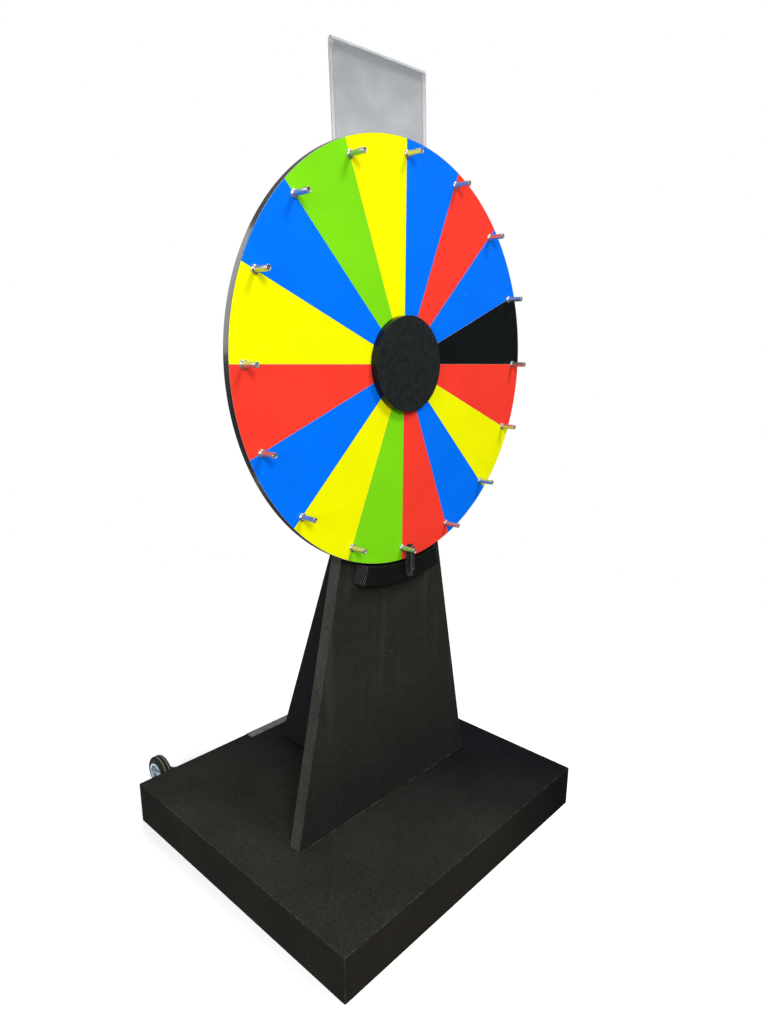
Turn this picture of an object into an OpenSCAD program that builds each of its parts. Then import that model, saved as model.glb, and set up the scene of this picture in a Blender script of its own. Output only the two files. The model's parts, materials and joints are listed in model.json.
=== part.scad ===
// Carnival prize wheel on a stand.
// A pegged wheel spins on a ball-bearing spindle in front of a tapered black stand.
// A rubber flapper brushes the pegs at the bottom, a clear header pocket stands above the
// wheel, and two casters behind the base let it be tipped back and rolled away.
// +Z is up and the wheel faces -Y. The origin is the middle of the base's underside.

/* [Base] */
// Width of the base, left to right
base_w = 950; // [860:1:1150]
// Depth of the base, front to rear
base_d = 895; // [870:1:1100]
// Height of the base
base_h = 124; // [122:1:170]
// Thickness of the base's top board and rails
board_t = 18; // [15:0.5:22]
// Thickness of the bottom board
bottom_t = 12; // [9:0.5:15]
// Radius on the base's outer edges
edge_r = 4; // [2:0.5:6]
// Width of the two bearers under the stand
bearer_w = 70; // [60:1:100]
// Side of the blocks in the base's corners
corner_w = 50; // [46:1:70]
// Shank diameter of the bottom board's screws
bottom_screw_d = 5; // [4:0.5:6]
// Length of the bottom board's screws
bottom_screw_len = 40; // [30:1:60]
// Distance from a bearer's last bolt to its bottom screw
bearer_screw_step = 60; // [40:1:70]

/* [Rear strip] */
// Length of the metal strip let into the base's rear edge
strip_len = 196; // [150:1:260]
// Width of the strip
strip_w = 31; // [20:0.5:36]
// Thickness of the strip
strip_t = 3; // [2.5:0.5:4]
// Distance from the strip's end to its screw
strip_screw_inset = 20; // [12:0.5:30]
// Shank diameter of the strip's screws
strip_screw_d = 4; // [3:0.5:4.5]
// Length of the strip's screws
strip_screw_len = 14; // [10:0.5:16]

/* [Stand] */
// Distance from the base's front edge to the front panel
panel_setback = 319.5; // [300:0.5:330]
// Thickness of the front panel
panel_t = 36; // [32:0.5:42]
// Width of the front panel at its foot
panel_foot_w = 680; // [640:1:760]
// Width of the front panel at its top
panel_top_w = 92; // [84:1:120]
// Height of the front panel above the base
panel_h = 1416; // [1405:1:1480]
// Thickness of the rib behind the panel
rib_t = 36; // [32:0.5:44]
// Depth of the rib at its foot
rib_foot_d = 450; // [390:1:460]
// Depth of the rib at its top
rib_top_d = 33; // [28:1:60]
// Distance from the wheel's axis down to the rib's top
rib_drop = 105; // [80:1:160]
// Diameter of the dowels between panel and rib
dowel_d = 12; // [8:1:16]
// Length of the dowels
dowel_len = 44; // [30:1:50]
// Distance between dowels
dowel_pitch = 200; // [120:1:240]
// Shank diameter of the bolts that hold the stand down
stand_bolt_d = 10; // [8:1:12]
// Reach of those bolts into the stand
stand_bolt_bite = 50; // [30:1:70]
// Distance between the panel's outer bolts
panel_bolt_outer = 520; // [400:1:560]
// Distance between the panel's inner bolts
panel_bolt_inner = 200; // [120:1:300]
// Distance from the panel to the rib's first bolt
rib_bolt_near = 120; // [90:1:180]
// Distance from the panel to the rib's second bolt
rib_bolt_far = 320; // [240:1:340]
// Wall of the threaded inserts that the bolts screw into
insert_wall = 3; // [2:0.5:5]

/* [Wheel] */
// Diameter of the wheel
wheel_d = 1000; // [900:1:1100]
// Thickness of the wheel's disc
disc_t = 17.6; // [12:0.1:22]
// Thickness of the coloured sector sheets
foil_t = 0.4; // [0.3:0.1:1]
// Gap between neighbouring sector sheets
foil_gap = 0.6; // [0.4:0.1:2]
// Bare margin between the sheets and the rim
foil_margin = 1; // [0.5:0.5:5]
// Height of the wheel's axis above the base
hub_rise = 1221; // [1190:1:1228]
// Gap between the wheel and the panel
wheel_gap = 16.5; // [14:0.5:24]

/* [Pegs] */
// Distance from the rim to the circle of pegs
peg_inset = 33; // [26:0.5:42]
// Diameter of the peg sleeves
peg_d = 12.5; // [11.5:0.5:14]
// How far the pegs stand out of the wheel's face
peg_len = 46; // [38:1:60]
// Diameter of the collar at a peg's foot
collar_d = 19.6; // [19:0.2:24]
// Height of the collar
collar_h = 5; // [3:0.5:7]
// Bevel on the collar's front edge
collar_bevel = 2.5; // [1:0.1:2.8]
// Diameter of the studs inside the pegs
stud_d = 8; // [6:0.5:9]
// How deep a stud's end lies inside its sleeve
stud_recess = 1.5; // [0.5:0.5:3]
// Bevel on a stud's front end
stud_bevel = 1.5; // [0.5:0.1:2]
// Width across flats of the nuts behind the wheel
peg_nut_af = 13; // [12:0.5:16]
// Height of those nuts
peg_nut_h = 6.5; // [5:0.5:8]

/* [Hub] */
// Diameter of the hub cover
cover_d = 229; // [215:1:260]
// Thickness of the hub cover
cover_h = 20; // [18:0.5:30]
// Thickness of the hub cover's face
cover_face_t = 5; // [3:0.5:6]
// Room between the spindle's flange and the cover's wall
cover_room = 20; // [14:0.5:24]
// Shank diameter of the screws that hold the cover
cover_screw_d = 4; // [3:0.5:5]
// How far those screws bite into the cover
cover_screw_bite = 12; // [8:0.5:14]
// Number of those screws
cover_screws_n = 4; // [3:1:8]
// Diameter of the spindle's flange
flange_d = 150; // [136:1:160]
// Thickness of the spindle's flange
flange_t = 6; // [4:0.5:8]
// Diameter of the circle of flange bolts
flange_circle = 110; // [96:1:116]
// Number of flange bolts
flange_bolts_n = 6; // [4:1:8]
// Shank diameter of the flange bolts
flange_bolt_d = 8; // [6:1:8]
// Diameter of the spindle's shaft
shaft_d = 25; // [20:0.5:28]
// Width across flats of the spindle's nut
spindle_nut_af = 36; // [36:1:42]
// Height of the spindle's nut
spindle_nut_h = 14; // [10:0.5:18]
// Diameter of the washer under the spindle's nut
spindle_washer_d = 38; // [32:0.5:40]
// Thickness of that washer
spindle_washer_t = 3; // [2:0.5:5]
// Length of thread that shows behind the spindle's nut
thread_show = 3; // [1:0.5:6]

/* [Bearing] */
// Outer diameter of the ball bearings
bearing_od = 52; // [50:0.5:58]
// Width of one ball bearing
bearing_w = 15; // [12:0.5:16]
// Diameter of the balls
ball_d = 8; // [6:0.25:8.5]
// Number of balls in a bearing
balls_n = 9; // [6:1:10]
// Gap between the shoulders of a bearing's two rings
ring_gap = 12; // [9:0.5:13]
// Thickness of the cage that keeps the balls apart
cage_t = 1.5; // [1:0.1:2.5]
// Width of that cage
cage_w = 11; // [10:0.5:12]
// Wall of the housing round the bearings
housing_wall = 5; // [4:0.5:7]
// Diameter of the housing's flange
housing_flange_d = 110; // [104:1:116]
// Thickness of the housing's flange
housing_flange_t = 6; // [4:0.5:8]
// Diameter of the circle of housing screws
housing_circle = 86; // [82:1:90]
// Shank diameter of the housing screws
housing_screw_d = 6; // [4:0.5:7]
// How far the housing screws bite into the panel
housing_screw_bite = 26; // [16:1:28]

/* [Pointer] */
// Gap between the wheel's rim and the pointer block
block_gap = 5; // [4:0.5:10]
// Height of the pointer block, out from the wheel
block_h = 53; // [45:0.5:70]
// Half of the angle that the block spans round the wheel
block_half_angle = 14.9; // [12:0.1:18]
// How far the block stands in front of the wheel's face
block_proud = 6.5; // [6:0.5:16]
// Angle from the block's middle to its screws
block_screw_angle = 9; // [7:0.5:11]
// Shank diameter of the block's screws
block_screw_d = 6; // [4:0.5:8]
// How far those screws bite into the block
block_screw_bite = 26; // [12:0.5:30]
// Thickness of the flapper
flapper_t = 9; // [8:0.5:12]
// Width of the flapper, front to rear
flapper_w = 25; // [16:0.5:26]
// How far the flapper's tip reaches past the pegs
flapper_lap = 5; // [4:0.5:16]
// How far the flapper's tail reaches below its pin
flapper_tail = 15; // [12:0.5:20]
// Gap between the flapper and the peg beside it
flapper_gap = 0.3; // [0.3:0.1:2]
// Gap between the flapper and the block
flapper_play = 0.5; // [0.3:0.1:1]
// Depth of the flapper's grooves
groove_depth = 0.8; // [0.4:0.1:1.2]
// Width of the flapper's grooves
groove_w = 3; // [2:0.5:4]
// Diameter of the flapper's pin
pin_d = 5; // [4:0.5:6]
// Distance from the block's inner edge to the pin
pin_inset = 24; // [20:0.5:28]
// How far the pin reaches into the block
pin_bite = 26; // [16:0.5:30]
// Diameter of the pin's head
pin_head_d = 9; // [7.5:0.5:12]
// Height of the pin's head
pin_head_h = 2.5; // [1.5:0.5:4]

/* [Header] */
// Width of the mast bar
mast_w = 60; // [50:1:70]
// Thickness of the mast bar
mast_t = 6; // [4:0.5:8]
// Height of the mast's top above the wheel's axis
mast_rise = 490; // [440:1:495]
// Gap between the bearing's housing and the mast
mast_gap = 10; // [5:1:20]
// Shank diameter of the mast's screws
mast_screw_d = 6; // [4:0.5:8]
// How far those screws bite into the panel
mast_screw_bite = 26; // [16:1:28]
// Distance across between the mast's screws
mast_screw_across = 32; // [24:1:34]
// Distance between the mast's rows of screws
mast_screw_rows = 70; // [50:1:80]
// Distance from the mast's foot to the first row
mast_screw_foot = 18; // [12:1:24]
// Width of the header pocket
pocket_w = 303; // [210:1:420]
// Height of the header pocket
pocket_h = 246; // [200:1:320]
// Thickness of the header pocket over both leaves
pocket_t = 15; // [14:0.5:24]
// Thickness of the pocket's sheet
sheet_t = 3; // [2:0.5:4]
// How far the pocket laps the mast
pocket_lap = 50; // [40:1:80]
// Angle by which the pocket leans to the left
pocket_lean = 2.7; // [0:0.1:3]
// How far the pocket's screws sit to the right of the mast's middle
pocket_shift = 6.5; // [0:0.5:8]
// Shank diameter of the pocket's screws
pocket_screw_d = 5; // [4:0.5:6]
// Distance between the pocket's screws
pocket_screw_across = 34; // [24:1:36]
// Height of the pocket's screws above its lower edge
pocket_screw_rise = 26; // [16:1:28]
// Height of the pocket's nuts
pocket_nut_h = 4; // [3:0.5:5]

/* [Casters] */
// Distance from the base's side to the middle of a caster
caster_inset = 105; // [90:1:160]
// Diameter of a caster's tyre
caster_d = 104; // [90:1:120]
// Width of a caster's tyre
caster_w = 30; // [24:0.5:32]
// Bevel at the shoulders of the tyre
tyre_shoulder = 5; // [2:0.5:8]
// Inner diameter of the tyre
tyre_bore_d = 66; // [56:1:72]
// Width of the core's rim
rim_w = 34; // [33:0.5:36]
// Thickness of the core's rim
rim_t = 4; // [3:0.5:6]
// Width of the core's hub
caster_hub_w = 38; // [36.5:0.5:44]
// Diameter of the core's hub
caster_hub_d = 24; // [20:0.5:28]
// Thickness of the core's web
web_t = 6; // [3:0.5:10]
// How far the web swells from the rim to the hub
web_swell = 4; // [1:0.5:6]
// Gap between a core's hub and a fork's leg
hub_play = 0.5; // [0.3:0.1:2]
// Height of a caster's axle above the floor
axle_rise = 79; // [70:1:90]
// Distance from the base's rear face to a caster's axle
axle_reach = 72; // [68:1:100]
// Diameter of an axle bolt
axle_d = 8; // [6:0.5:8]
// Outer diameter of the sleeve on an axle bolt
axle_sleeve_d = 12; // [11:0.5:14]
// Width of a caster's plate
plate_w = 105; // [100:1:120]
// Height of a caster's plate
plate_h = 100; // [80:1:104]
// Height of the plate's middle above the floor
plate_rise = 66; // [60:1:68]
// Thickness of the plate and the fork's legs
plate_t = 3; // [2.5:0.5:4]
// Distance between a fork's legs at the plate
fork_root_w = 64; // [56:1:68]
// Height of a fork's legs at the plate
leg_root_h = 92; // [60:1:98]
// Distance from the plate's face to the bend in a fork's legs
leg_bend = 34; // [24:1:40]
// Radius of a leg's round end
leg_end_r = 12.5; // [10:0.5:20]
// Shank diameter of the caster screws
caster_screw_d = 6; // [4:0.5:8]
// Length of the caster screws
caster_screw_len = 40; // [24:1:50]
// Distance across between the caster screws
caster_screw_across = 88; // [86:1:92]
// Distance up and down between the caster screws
caster_screw_rows = 58; // [50:1:60]

/* [Fits] */
// Gap round a fixed pin, screw or insert
hole_play = 0.1; // [0.05:0.05:0.2]
// Gap round a shaft or axle that turns
run_play = 0.05; // [0.02:0.01:0.08]
// Room past the end of a screw or dowel
end_room = 1; // [0.5:0.5:2]
// How deep a flush screw's head lies below its face
head_sink = 0.5; // [0.2:0.1:1]
// Room round a bolt's head in its recess
head_room = 1; // [0.5:0.5:3]

/* [Hidden] */
$fn = 96;
small_fn = 48;

// Colours of the sectors, clockwise from the top as seen from the front
SECTORS = [
    "blue", "red", "blue", "black", "red", "yellow", "blue", "red",
    "green", "yellow", "blue", "red", "yellow", "blue", "green", "yellow"
];
sectors_n = len(SECTORS);
sector_angle = 360 / sectors_n;

// Finishes
stand_black = [0.13, 0.13, 0.12];
raw_board = [0.62, 0.50, 0.36];
zinc = [0.70, 0.73, 0.76];
steel = [0.55, 0.56, 0.58];
chrome = [0.85, 0.86, 0.87];
brass = [0.75, 0.62, 0.30];

// Proportions of common fasteners, as multiples of the shank diameter
head_af = 1.6;
head_height = 0.65;
nut_height = 0.8;
pan_head_d = 1.9;
pan_head_h = 0.55;
flat_head_d = 2;
flat_head_h = 0.5;
washer_d = 2.1;
washer_t = 0.2;
recess_len = 1.1;
recess_w = 0.25;
recess_depth = 0.35;

// The base's levels and inner faces
top_under = base_h - board_t;
inner_x = base_w / 2 - board_t;
inner_y = base_d / 2 - board_t;

// The stand's levels, from front to rear
panel_front = panel_setback - base_d / 2;
panel_mid = panel_front + panel_t / 2;
panel_rear = panel_front + panel_t;
hub_z = base_h + hub_rise;
rib_top = hub_z - rib_drop;

// The wheel's levels, from rear to front
disc_rear = panel_front - wheel_gap;
disc_front = disc_rear - disc_t;
wheel_face = disc_front - foil_t;
wheel_r = wheel_d / 2;
peg_circle_r = wheel_r - peg_inset;
foil_inner_r = flange_d / 2 + cover_room / 2;
cover_inner_r = flange_d / 2 + cover_room;
cover_screw_r = (cover_inner_r + cover_d / 2) / 2;

// The bearing's levels and radii
housing_rear = panel_rear + housing_flange_t;
housing_od = bearing_od + 2 * housing_wall;
pitch_d = (shaft_d + bearing_od) / 2;
inner_ring_od = pitch_d - ring_gap / 2;
outer_ring_id = pitch_d + ring_gap / 2;
rear_bearing_front = housing_rear - bearing_w;
front_bearing_rear = panel_front + bearing_w;
spindle_end = housing_rear + spindle_washer_t + spindle_nut_h + thread_show;

// The pointer's radii, levels and pin
block_inner_r = wheel_r + block_gap;
block_outer_r = block_inner_r + block_h;
block_front = wheel_face - block_proud;
block_mid_r = (block_inner_r + block_outer_r) / 2;
flapper_x = peg_d / 2 + flapper_gap + flapper_t / 2;
flapper_rear = block_front - flapper_play;
flapper_front = flapper_rear - flapper_w;
flapper_pin_z = hub_z - block_inner_r - pin_inset;
flapper_tip_z = hub_z - peg_circle_r + peg_d / 2 + flapper_lap;
flapper_tail_z = flapper_pin_z - flapper_tail;

// The header's levels
mast_foot = hub_z + housing_flange_d / 2 + mast_gap;
mast_top = hub_z + mast_rise;
mast_rear = panel_rear + mast_t;
pocket_foot = mast_top - pocket_lap;

// The casters' places
caster_x = base_w / 2 - caster_inset;
base_rear = base_d / 2;
axle_y = base_rear + axle_reach;
fork_w = caster_hub_w + 2 * hub_play;
SIDES = [-1, 1];

// Places of the bolts that hold the stand down
STAND_BOLTS = concat(
    [for (x = [-panel_bolt_outer, -panel_bolt_inner, panel_bolt_inner, panel_bolt_outer]) [x / 2, panel_mid]],
    [for (y = [rib_bolt_near, rib_bolt_far]) [0, panel_rear + y]]
);
stand_head_h = stand_bolt_d * head_height;
stand_washer_h = stand_bolt_d * washer_t;
stand_washer_d = stand_bolt_d * washer_d;
stand_seat = bottom_t + end_room + stand_head_h + stand_washer_h;
insert_d = stand_bolt_d + 2 * insert_wall;

// Places of the dowels between panel and rib
dowels_n = floor((rib_top - base_h) / dowel_pitch);
DOWELS = [for (i = [0:dowels_n - 1]) base_h + dowel_pitch / 2 + i * dowel_pitch];

// Places of the bottom board's screws: the corner blocks, then along the bearers
corner_screw_x = inner_x - corner_w / 2;
corner_screw_y = inner_y - corner_w / 2;
bearer_screw_x = panel_bolt_outer / 2 + bearer_screw_step;
bearer_screw_y = panel_rear + rib_bolt_far + bearer_screw_step;
BOTTOM_SCREWS = concat(
    [for (sx = SIDES) for (sy = SIDES) [sx * corner_screw_x, sy * corner_screw_y]],
    [for (sx = SIDES) [sx * bearer_screw_x, panel_mid]],
    [[0, bearer_screw_y]]
);

// Places of the casters' screws on a plate
PLATE_SCREWS = [
    for (sx = SIDES) for (sz = SIDES)
        [sx * caster_screw_across / 2, plate_rise + sz * caster_screw_rows / 2]
];

// Places of the mast's screws
MAST_SCREWS = [
    for (sx = SIDES) for (row = [0, 1])
        [sx * mast_screw_across / 2, mast_foot + mast_screw_foot + row * mast_screw_rows]
];

// Turns a shape so that its X stays X, its Y becomes Z and it grows towards -Y
module facing_front(x, y, z) {
    translate([x, y, z]) rotate([90, 0, 0]) children();
}

// Turns a round shape so that it grows towards +Y
module facing_rear(x, y, z) {
    translate([x, y, z]) rotate([-90, 0, 0]) children();
}

// Turns a shape so that its X becomes Y, its Y becomes Z and it grows towards +X
module facing_right(x, y, z) {
    translate([x, y, z]) rotate([90, 0, 90]) children();
}

// Repeats a shape round the wheel, first copy at the top, seen from the front
module round_the_wheel(n, r, y, start = 0) {
    for (i = [0:n - 1]) {
        angle = start + i * 360 / n;
        facing_front(r * sin(angle), y, hub_z + r * cos(angle)) children();
    }
}

// A ring
module tube(outer_d, inner_d, h) {
    difference() {
        cylinder(d = outer_d, h = h);
        translate([0, 0, -1]) cylinder(d = inner_d, h = h + 2);
    }
}

// A box from one corner to the opposite one
module box(low, high) {
    translate(low) cube(high - low);
}

// A six-sided bar, measured across its flats
module hexagon(af, h) {
    cylinder(d = af / cos(30), h = h, $fn = 6);
}

// A hexagon bolt with its seat at zero and its shank upwards
module hex_bolt(d, len) {
    translate([0, 0, -d * head_height]) hexagon(d * head_af, d * head_height);
    cylinder(d = d, h = len, $fn = small_fn);
}

// A hexagon nut round a bolt
module hex_nut(d, af, h) {
    difference() {
        hexagon(af, h);
        translate([0, 0, -1]) cylinder(d = d + 2 * hole_play, h = h + 2, $fn = small_fn);
    }
}

// A cross cut upwards into a screw's head
module cross_recess(d) {
    for (turn = [0, 90]) rotate([0, 0, turn])
        cube([d * recess_len, d * recess_w, 2 * d * recess_depth], center = true);
}

// A low round-headed screw with its seat at zero and its shank upwards
module pan_screw(d, len) {
    head_face = -d * pan_head_h;
    difference() {
        union() {
            translate([0, 0, head_face]) cylinder(d = d * pan_head_d, h = d * pan_head_h, $fn = small_fn);
            cylinder(d = d, h = len, $fn = small_fn);
        }
        translate([0, 0, head_face]) cross_recess(d);
    }
}

// The form of a countersunk screw with its head's face at zero and its shank upwards
module flat_form(d, len) {
    cylinder(d1 = d * flat_head_d, d2 = d, h = d * flat_head_h, $fn = small_fn);
    cylinder(d = d, h = len, $fn = small_fn);
}

module flat_screw(d, len) {
    difference() {
        flat_form(d, len);
        cross_recess(d);
    }
}

// The hole of a countersunk screw, opening downwards
module flat_screw_hole(d, len) {
    flat_form(d + 2 * hole_play, len + end_room);
    translate([0, 0, -head_sink - 1])
        cylinder(d = (d + 2 * hole_play) * flat_head_d, h = head_sink + 1, $fn = small_fn);
}

// A straight hole for a shank, from zero upwards
module shank_hole(d, len) {
    translate([0, 0, -1]) cylinder(d = d + 2 * hole_play, h = len + 1 + end_room, $fn = small_fn);
}

// A rectangle about zero with round corners
module round_rect(w, h, r) {
    square([w, h - 2 * r], center = true);
    square([w - 2 * r, h], center = true);
    for (sx = SIDES) for (sy = SIDES)
        translate([sx * (w / 2 - r), sy * (h / 2 - r)]) circle(r);
}

// The outer form of the base, with its upright and upper edges rounded
module base_form() {
    intersection() {
        linear_extrude(base_h) round_rect(base_w, base_d, edge_r);
        facing_front(0, base_d, 0)
            linear_extrude(2 * base_d) round_rect(base_w, 2 * base_h, edge_r);
        facing_right(-base_w, 0, 0)
            linear_extrude(2 * base_w) round_rect(base_d, 2 * base_h, edge_r);
    }
}

// The base's boards meet in mitres, so no board's end shows
module base_top() {
    color(stand_black) difference() {
        intersection() {
            base_form();
            facing_front(0, base_d, 0) linear_extrude(2 * base_d) polygon([
                [-inner_x, top_under], [inner_x, top_under], [base_w / 2, base_h], [-base_w / 2, base_h]
            ]);
            facing_right(-base_w, 0, 0) linear_extrude(2 * base_w) polygon([
                [-inner_y, top_under], [inner_y, top_under], [base_d / 2, base_h], [-base_d / 2, base_h]
            ]);
        }
        strip_seat();
        for (p = STAND_BOLTS) translate([p[0], p[1], top_under]) shank_hole(stand_bolt_d, board_t);
    }
}

// A rail across the base's front or rear
module cross_rail(side) {
    intersection() {
        base_form();
        facing_right(-base_w, 0, 0) linear_extrude(2 * base_w) polygon([
            [side * base_d / 2, 0], [side * inner_y, 0],
            [side * inner_y, top_under], [side * base_d / 2, base_h]
        ]);
        linear_extrude(base_h) polygon([
            [-base_w / 2, side * base_d / 2], [base_w / 2, side * base_d / 2],
            [inner_x, side * inner_y], [-inner_x, side * inner_y]
        ]);
    }
}

module front_rail() {
    color(stand_black) cross_rail(-1);
}

module rear_rail() {
    color(stand_black) difference() {
        cross_rail(1);
        strip_seat();
        caster_screw_holes();
    }
}

module side_rails() {
    color(stand_black) for (sx = SIDES) intersection() {
        base_form();
        facing_front(0, base_d, 0) linear_extrude(2 * base_d) polygon([
            [sx * base_w / 2, 0], [sx * inner_x, 0], [sx * inner_x, top_under], [sx * base_w / 2, base_h]
        ]);
        linear_extrude(base_h) polygon([
            [sx * base_w / 2, -base_d / 2], [sx * base_w / 2, base_d / 2],
            [sx * inner_x, inner_y], [sx * inner_x, -inner_y]
        ]);
    }
}

module bottom_board() {
    color(raw_board) difference() {
        box([-inner_x, -inner_y, 0], [inner_x, inner_y, bottom_t]);
        bottom_screw_holes();
    }
}

module panel_bearer() {
    color(raw_board) difference() {
        box([-inner_x, panel_mid - bearer_w / 2, bottom_t], [inner_x, panel_mid + bearer_w / 2, top_under]);
        bottom_screw_holes();
        stand_bolt_holes();
    }
}

module rib_bearer() {
    color(raw_board) difference() {
        box([-bearer_w / 2, panel_mid + bearer_w / 2, bottom_t], [bearer_w / 2, inner_y, top_under]);
        bottom_screw_holes();
        stand_bolt_holes();
    }
}

// Square blocks in front; behind, longer ones that also back the casters' plates
module corner_blocks() {
    backing_x = caster_x - plate_w / 2;
    color(raw_board) difference() {
        for (sx = SIDES) {
            box([min(sx * inner_x, sx * (inner_x - corner_w)), -inner_y, bottom_t],
                [max(sx * inner_x, sx * (inner_x - corner_w)), corner_w - inner_y, top_under]);
            box([min(sx * inner_x, sx * backing_x), inner_y - corner_w, bottom_t],
                [max(sx * inner_x, sx * backing_x), inner_y, top_under]);
        }
        bottom_screw_holes();
        caster_screw_holes();
    }
}

module bottom_screws() {
    color(zinc) for (p = BOTTOM_SCREWS) translate([p[0], p[1], head_sink])
        flat_screw(bottom_screw_d, bottom_screw_len);
}

module bottom_screw_holes() {
    for (p = BOTTOM_SCREWS) translate([p[0], p[1], head_sink])
        flat_screw_hole(bottom_screw_d, bottom_screw_len);
}

module strip_screw_place(side) {
    translate([side * (strip_len / 2 - strip_screw_inset), base_rear - strip_w / 2, base_h - head_sink])
        rotate([180, 0, 0]) children();
}

// The recess for the strip and the holes for its screws
module strip_seat() {
    box([-strip_len / 2, base_rear - strip_w, base_h - strip_t], [strip_len / 2, base_rear + 1, base_h + 1]);
    for (sx = SIDES) strip_screw_place(sx) flat_screw_hole(strip_screw_d, strip_screw_len);
}

module rear_strip() {
    color([0.36, 0.34, 0.33]) difference() {
        box([-strip_len / 2, base_rear - strip_w, base_h - strip_t], [strip_len / 2, base_rear, base_h]);
        for (sx = SIDES) strip_screw_place(sx) flat_screw_hole(strip_screw_d, strip_screw_len);
    }
}

module strip_screws() {
    color(zinc) for (sx = SIDES) strip_screw_place(sx) flat_screw(strip_screw_d, strip_screw_len);
}

// Holes for the stand's bolts, with a seat for head and washer at the lower end
module stand_bolt_holes() {
    seat_d = max(stand_washer_d, stand_bolt_d * head_af / cos(30)) + 2 * head_room;
    for (p = STAND_BOLTS) {
        translate([p[0], p[1], stand_seat]) shank_hole(stand_bolt_d, base_h);
        translate([p[0], p[1], bottom_t - 1]) cylinder(d = seat_d, h = stand_seat - bottom_t + 1);
    }
}

module stand_bolts() {
    color(zinc) for (p = STAND_BOLTS) translate([p[0], p[1], stand_seat - stand_washer_h])
        hex_bolt(stand_bolt_d, base_h + stand_bolt_bite - stand_seat + stand_washer_h);
}

module stand_washers() {
    color(zinc) for (p = STAND_BOLTS) translate([p[0], p[1], stand_seat - stand_washer_h])
        tube(stand_washer_d, stand_bolt_d + 2 * hole_play, stand_washer_h);
}

module foot_inserts() {
    color(brass) for (p = STAND_BOLTS) translate([p[0], p[1], base_h])
        tube(insert_d, stand_bolt_d + 2 * hole_play, stand_bolt_bite);
}

module insert_holes() {
    for (p = STAND_BOLTS) translate([p[0], p[1], base_h]) shank_hole(insert_d, stand_bolt_bite);
}

module dowel_holes() {
    for (z = DOWELS) facing_rear(0, panel_rear - dowel_len / 2 - end_room, z)
        cylinder(d = dowel_d + 2 * hole_play, h = dowel_len + 2 * end_room, $fn = small_fn);
}

module front_panel() {
    color(stand_black) difference() {
        facing_front(0, panel_rear, base_h) linear_extrude(panel_t) polygon([
            [-panel_foot_w / 2, 0], [panel_foot_w / 2, 0],
            [panel_top_w / 2, panel_h], [-panel_top_w / 2, panel_h]
        ]);
        facing_rear(0, panel_front - 1, hub_z) cylinder(d = housing_od + 2 * hole_play, h = panel_t + 2);
        insert_holes();
        dowel_holes();
        housing_screw_places() shank_hole(housing_screw_d, housing_flange_t + housing_screw_bite);
        block_screw_places() shank_hole(block_screw_d, panel_t + block_screw_bite);
        for (p = MAST_SCREWS) facing_front(p[0], mast_rear, p[1])
            shank_hole(mast_screw_d, mast_t + mast_screw_bite);
    }
}

module rear_rib() {
    color(stand_black) difference() {
        facing_right(-rib_t / 2, panel_rear, base_h) linear_extrude(rib_t) polygon([
            [0, 0], [rib_foot_d, 0], [rib_top_d, rib_top - base_h], [0, rib_top - base_h]
        ]);
        insert_holes();
        dowel_holes();
    }
}

module rib_dowels() {
    color(raw_board) for (z = DOWELS) facing_rear(0, panel_rear - dowel_len / 2, z)
        cylinder(d = dowel_d, h = dowel_len, $fn = small_fn);
}

module block_screw_places() {
    for (side = SIDES) {
        angle = 180 + side * block_screw_angle;
        facing_front(block_mid_r * sin(angle), panel_rear, hub_z + block_mid_r * cos(angle)) children();
    }
}

// The block follows the wheel's rim, with ends that point at the wheel's axis
module pointer_block() {
    reach = 2 * block_outer_r;
    half_w = reach * tan(block_half_angle);
    color([0.09, 0.09, 0.10]) difference() {
        facing_front(0, panel_front, hub_z) linear_extrude(panel_front - block_front) intersection() {
            difference() {
                circle(block_outer_r, $fn = 360);
                circle(block_inner_r, $fn = 360);
            }
            polygon([[0, 0], [-half_w, -reach], [half_w, -reach]]);
        }
        block_screw_places() shank_hole(block_screw_d, panel_t + block_screw_bite);
        facing_rear(flapper_x, block_front, flapper_pin_z) shank_hole(pin_d, pin_bite);
    }
}

module block_screws() {
    color(zinc) block_screw_places() pan_screw(block_screw_d, panel_t + block_screw_bite);
}

// A flat rubber tongue with round ends and two grooves along each face
module flapper() {
    r = flapper_w / 2;
    straight_low = flapper_tail_z + r;
    straight_high = flapper_tip_z - r;
    color([0.10, 0.10, 0.10]) difference() {
        facing_right(flapper_x - flapper_t / 2, flapper_front + r, 0) linear_extrude(flapper_t) {
            translate([-r, straight_low]) square([flapper_w, straight_high - straight_low]);
            for (z = [straight_low, straight_high]) translate([0, z]) circle(r);
        }
        for (side = SIDES) for (row = SIDES)
            translate([flapper_x + side * flapper_t / 2, flapper_front + r + row * groove_w,
                (straight_low + straight_high) / 2])
                cube([2 * groove_depth, groove_w, straight_high - straight_low], center = true);
        facing_rear(flapper_x, flapper_front - 1, flapper_pin_z)
            cylinder(d = pin_d + 2 * run_play, h = flapper_w + 2, $fn = small_fn);
    }
}

module flapper_pin() {
    pin_len = flapper_w + 2 * flapper_play + pin_bite;
    color(steel) facing_rear(flapper_x, flapper_front - flapper_play, flapper_pin_z) {
        translate([0, 0, -pin_head_h]) cylinder(d = pin_head_d, h = pin_head_h, $fn = small_fn);
        cylinder(d = pin_d, h = pin_len, $fn = small_fn);
    }
}

// Places on the wheel, counted from the top; the shapes grow towards the front
module peg_places(y) {
    round_the_wheel(sectors_n, peg_circle_r, y) children();
}

module flange_bolt_places(y) {
    round_the_wheel(flange_bolts_n, flange_circle / 2, y) children();
}

module cover_screw_places(y) {
    round_the_wheel(cover_screws_n, cover_screw_r, y, sector_angle / 2) children();
}

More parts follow.
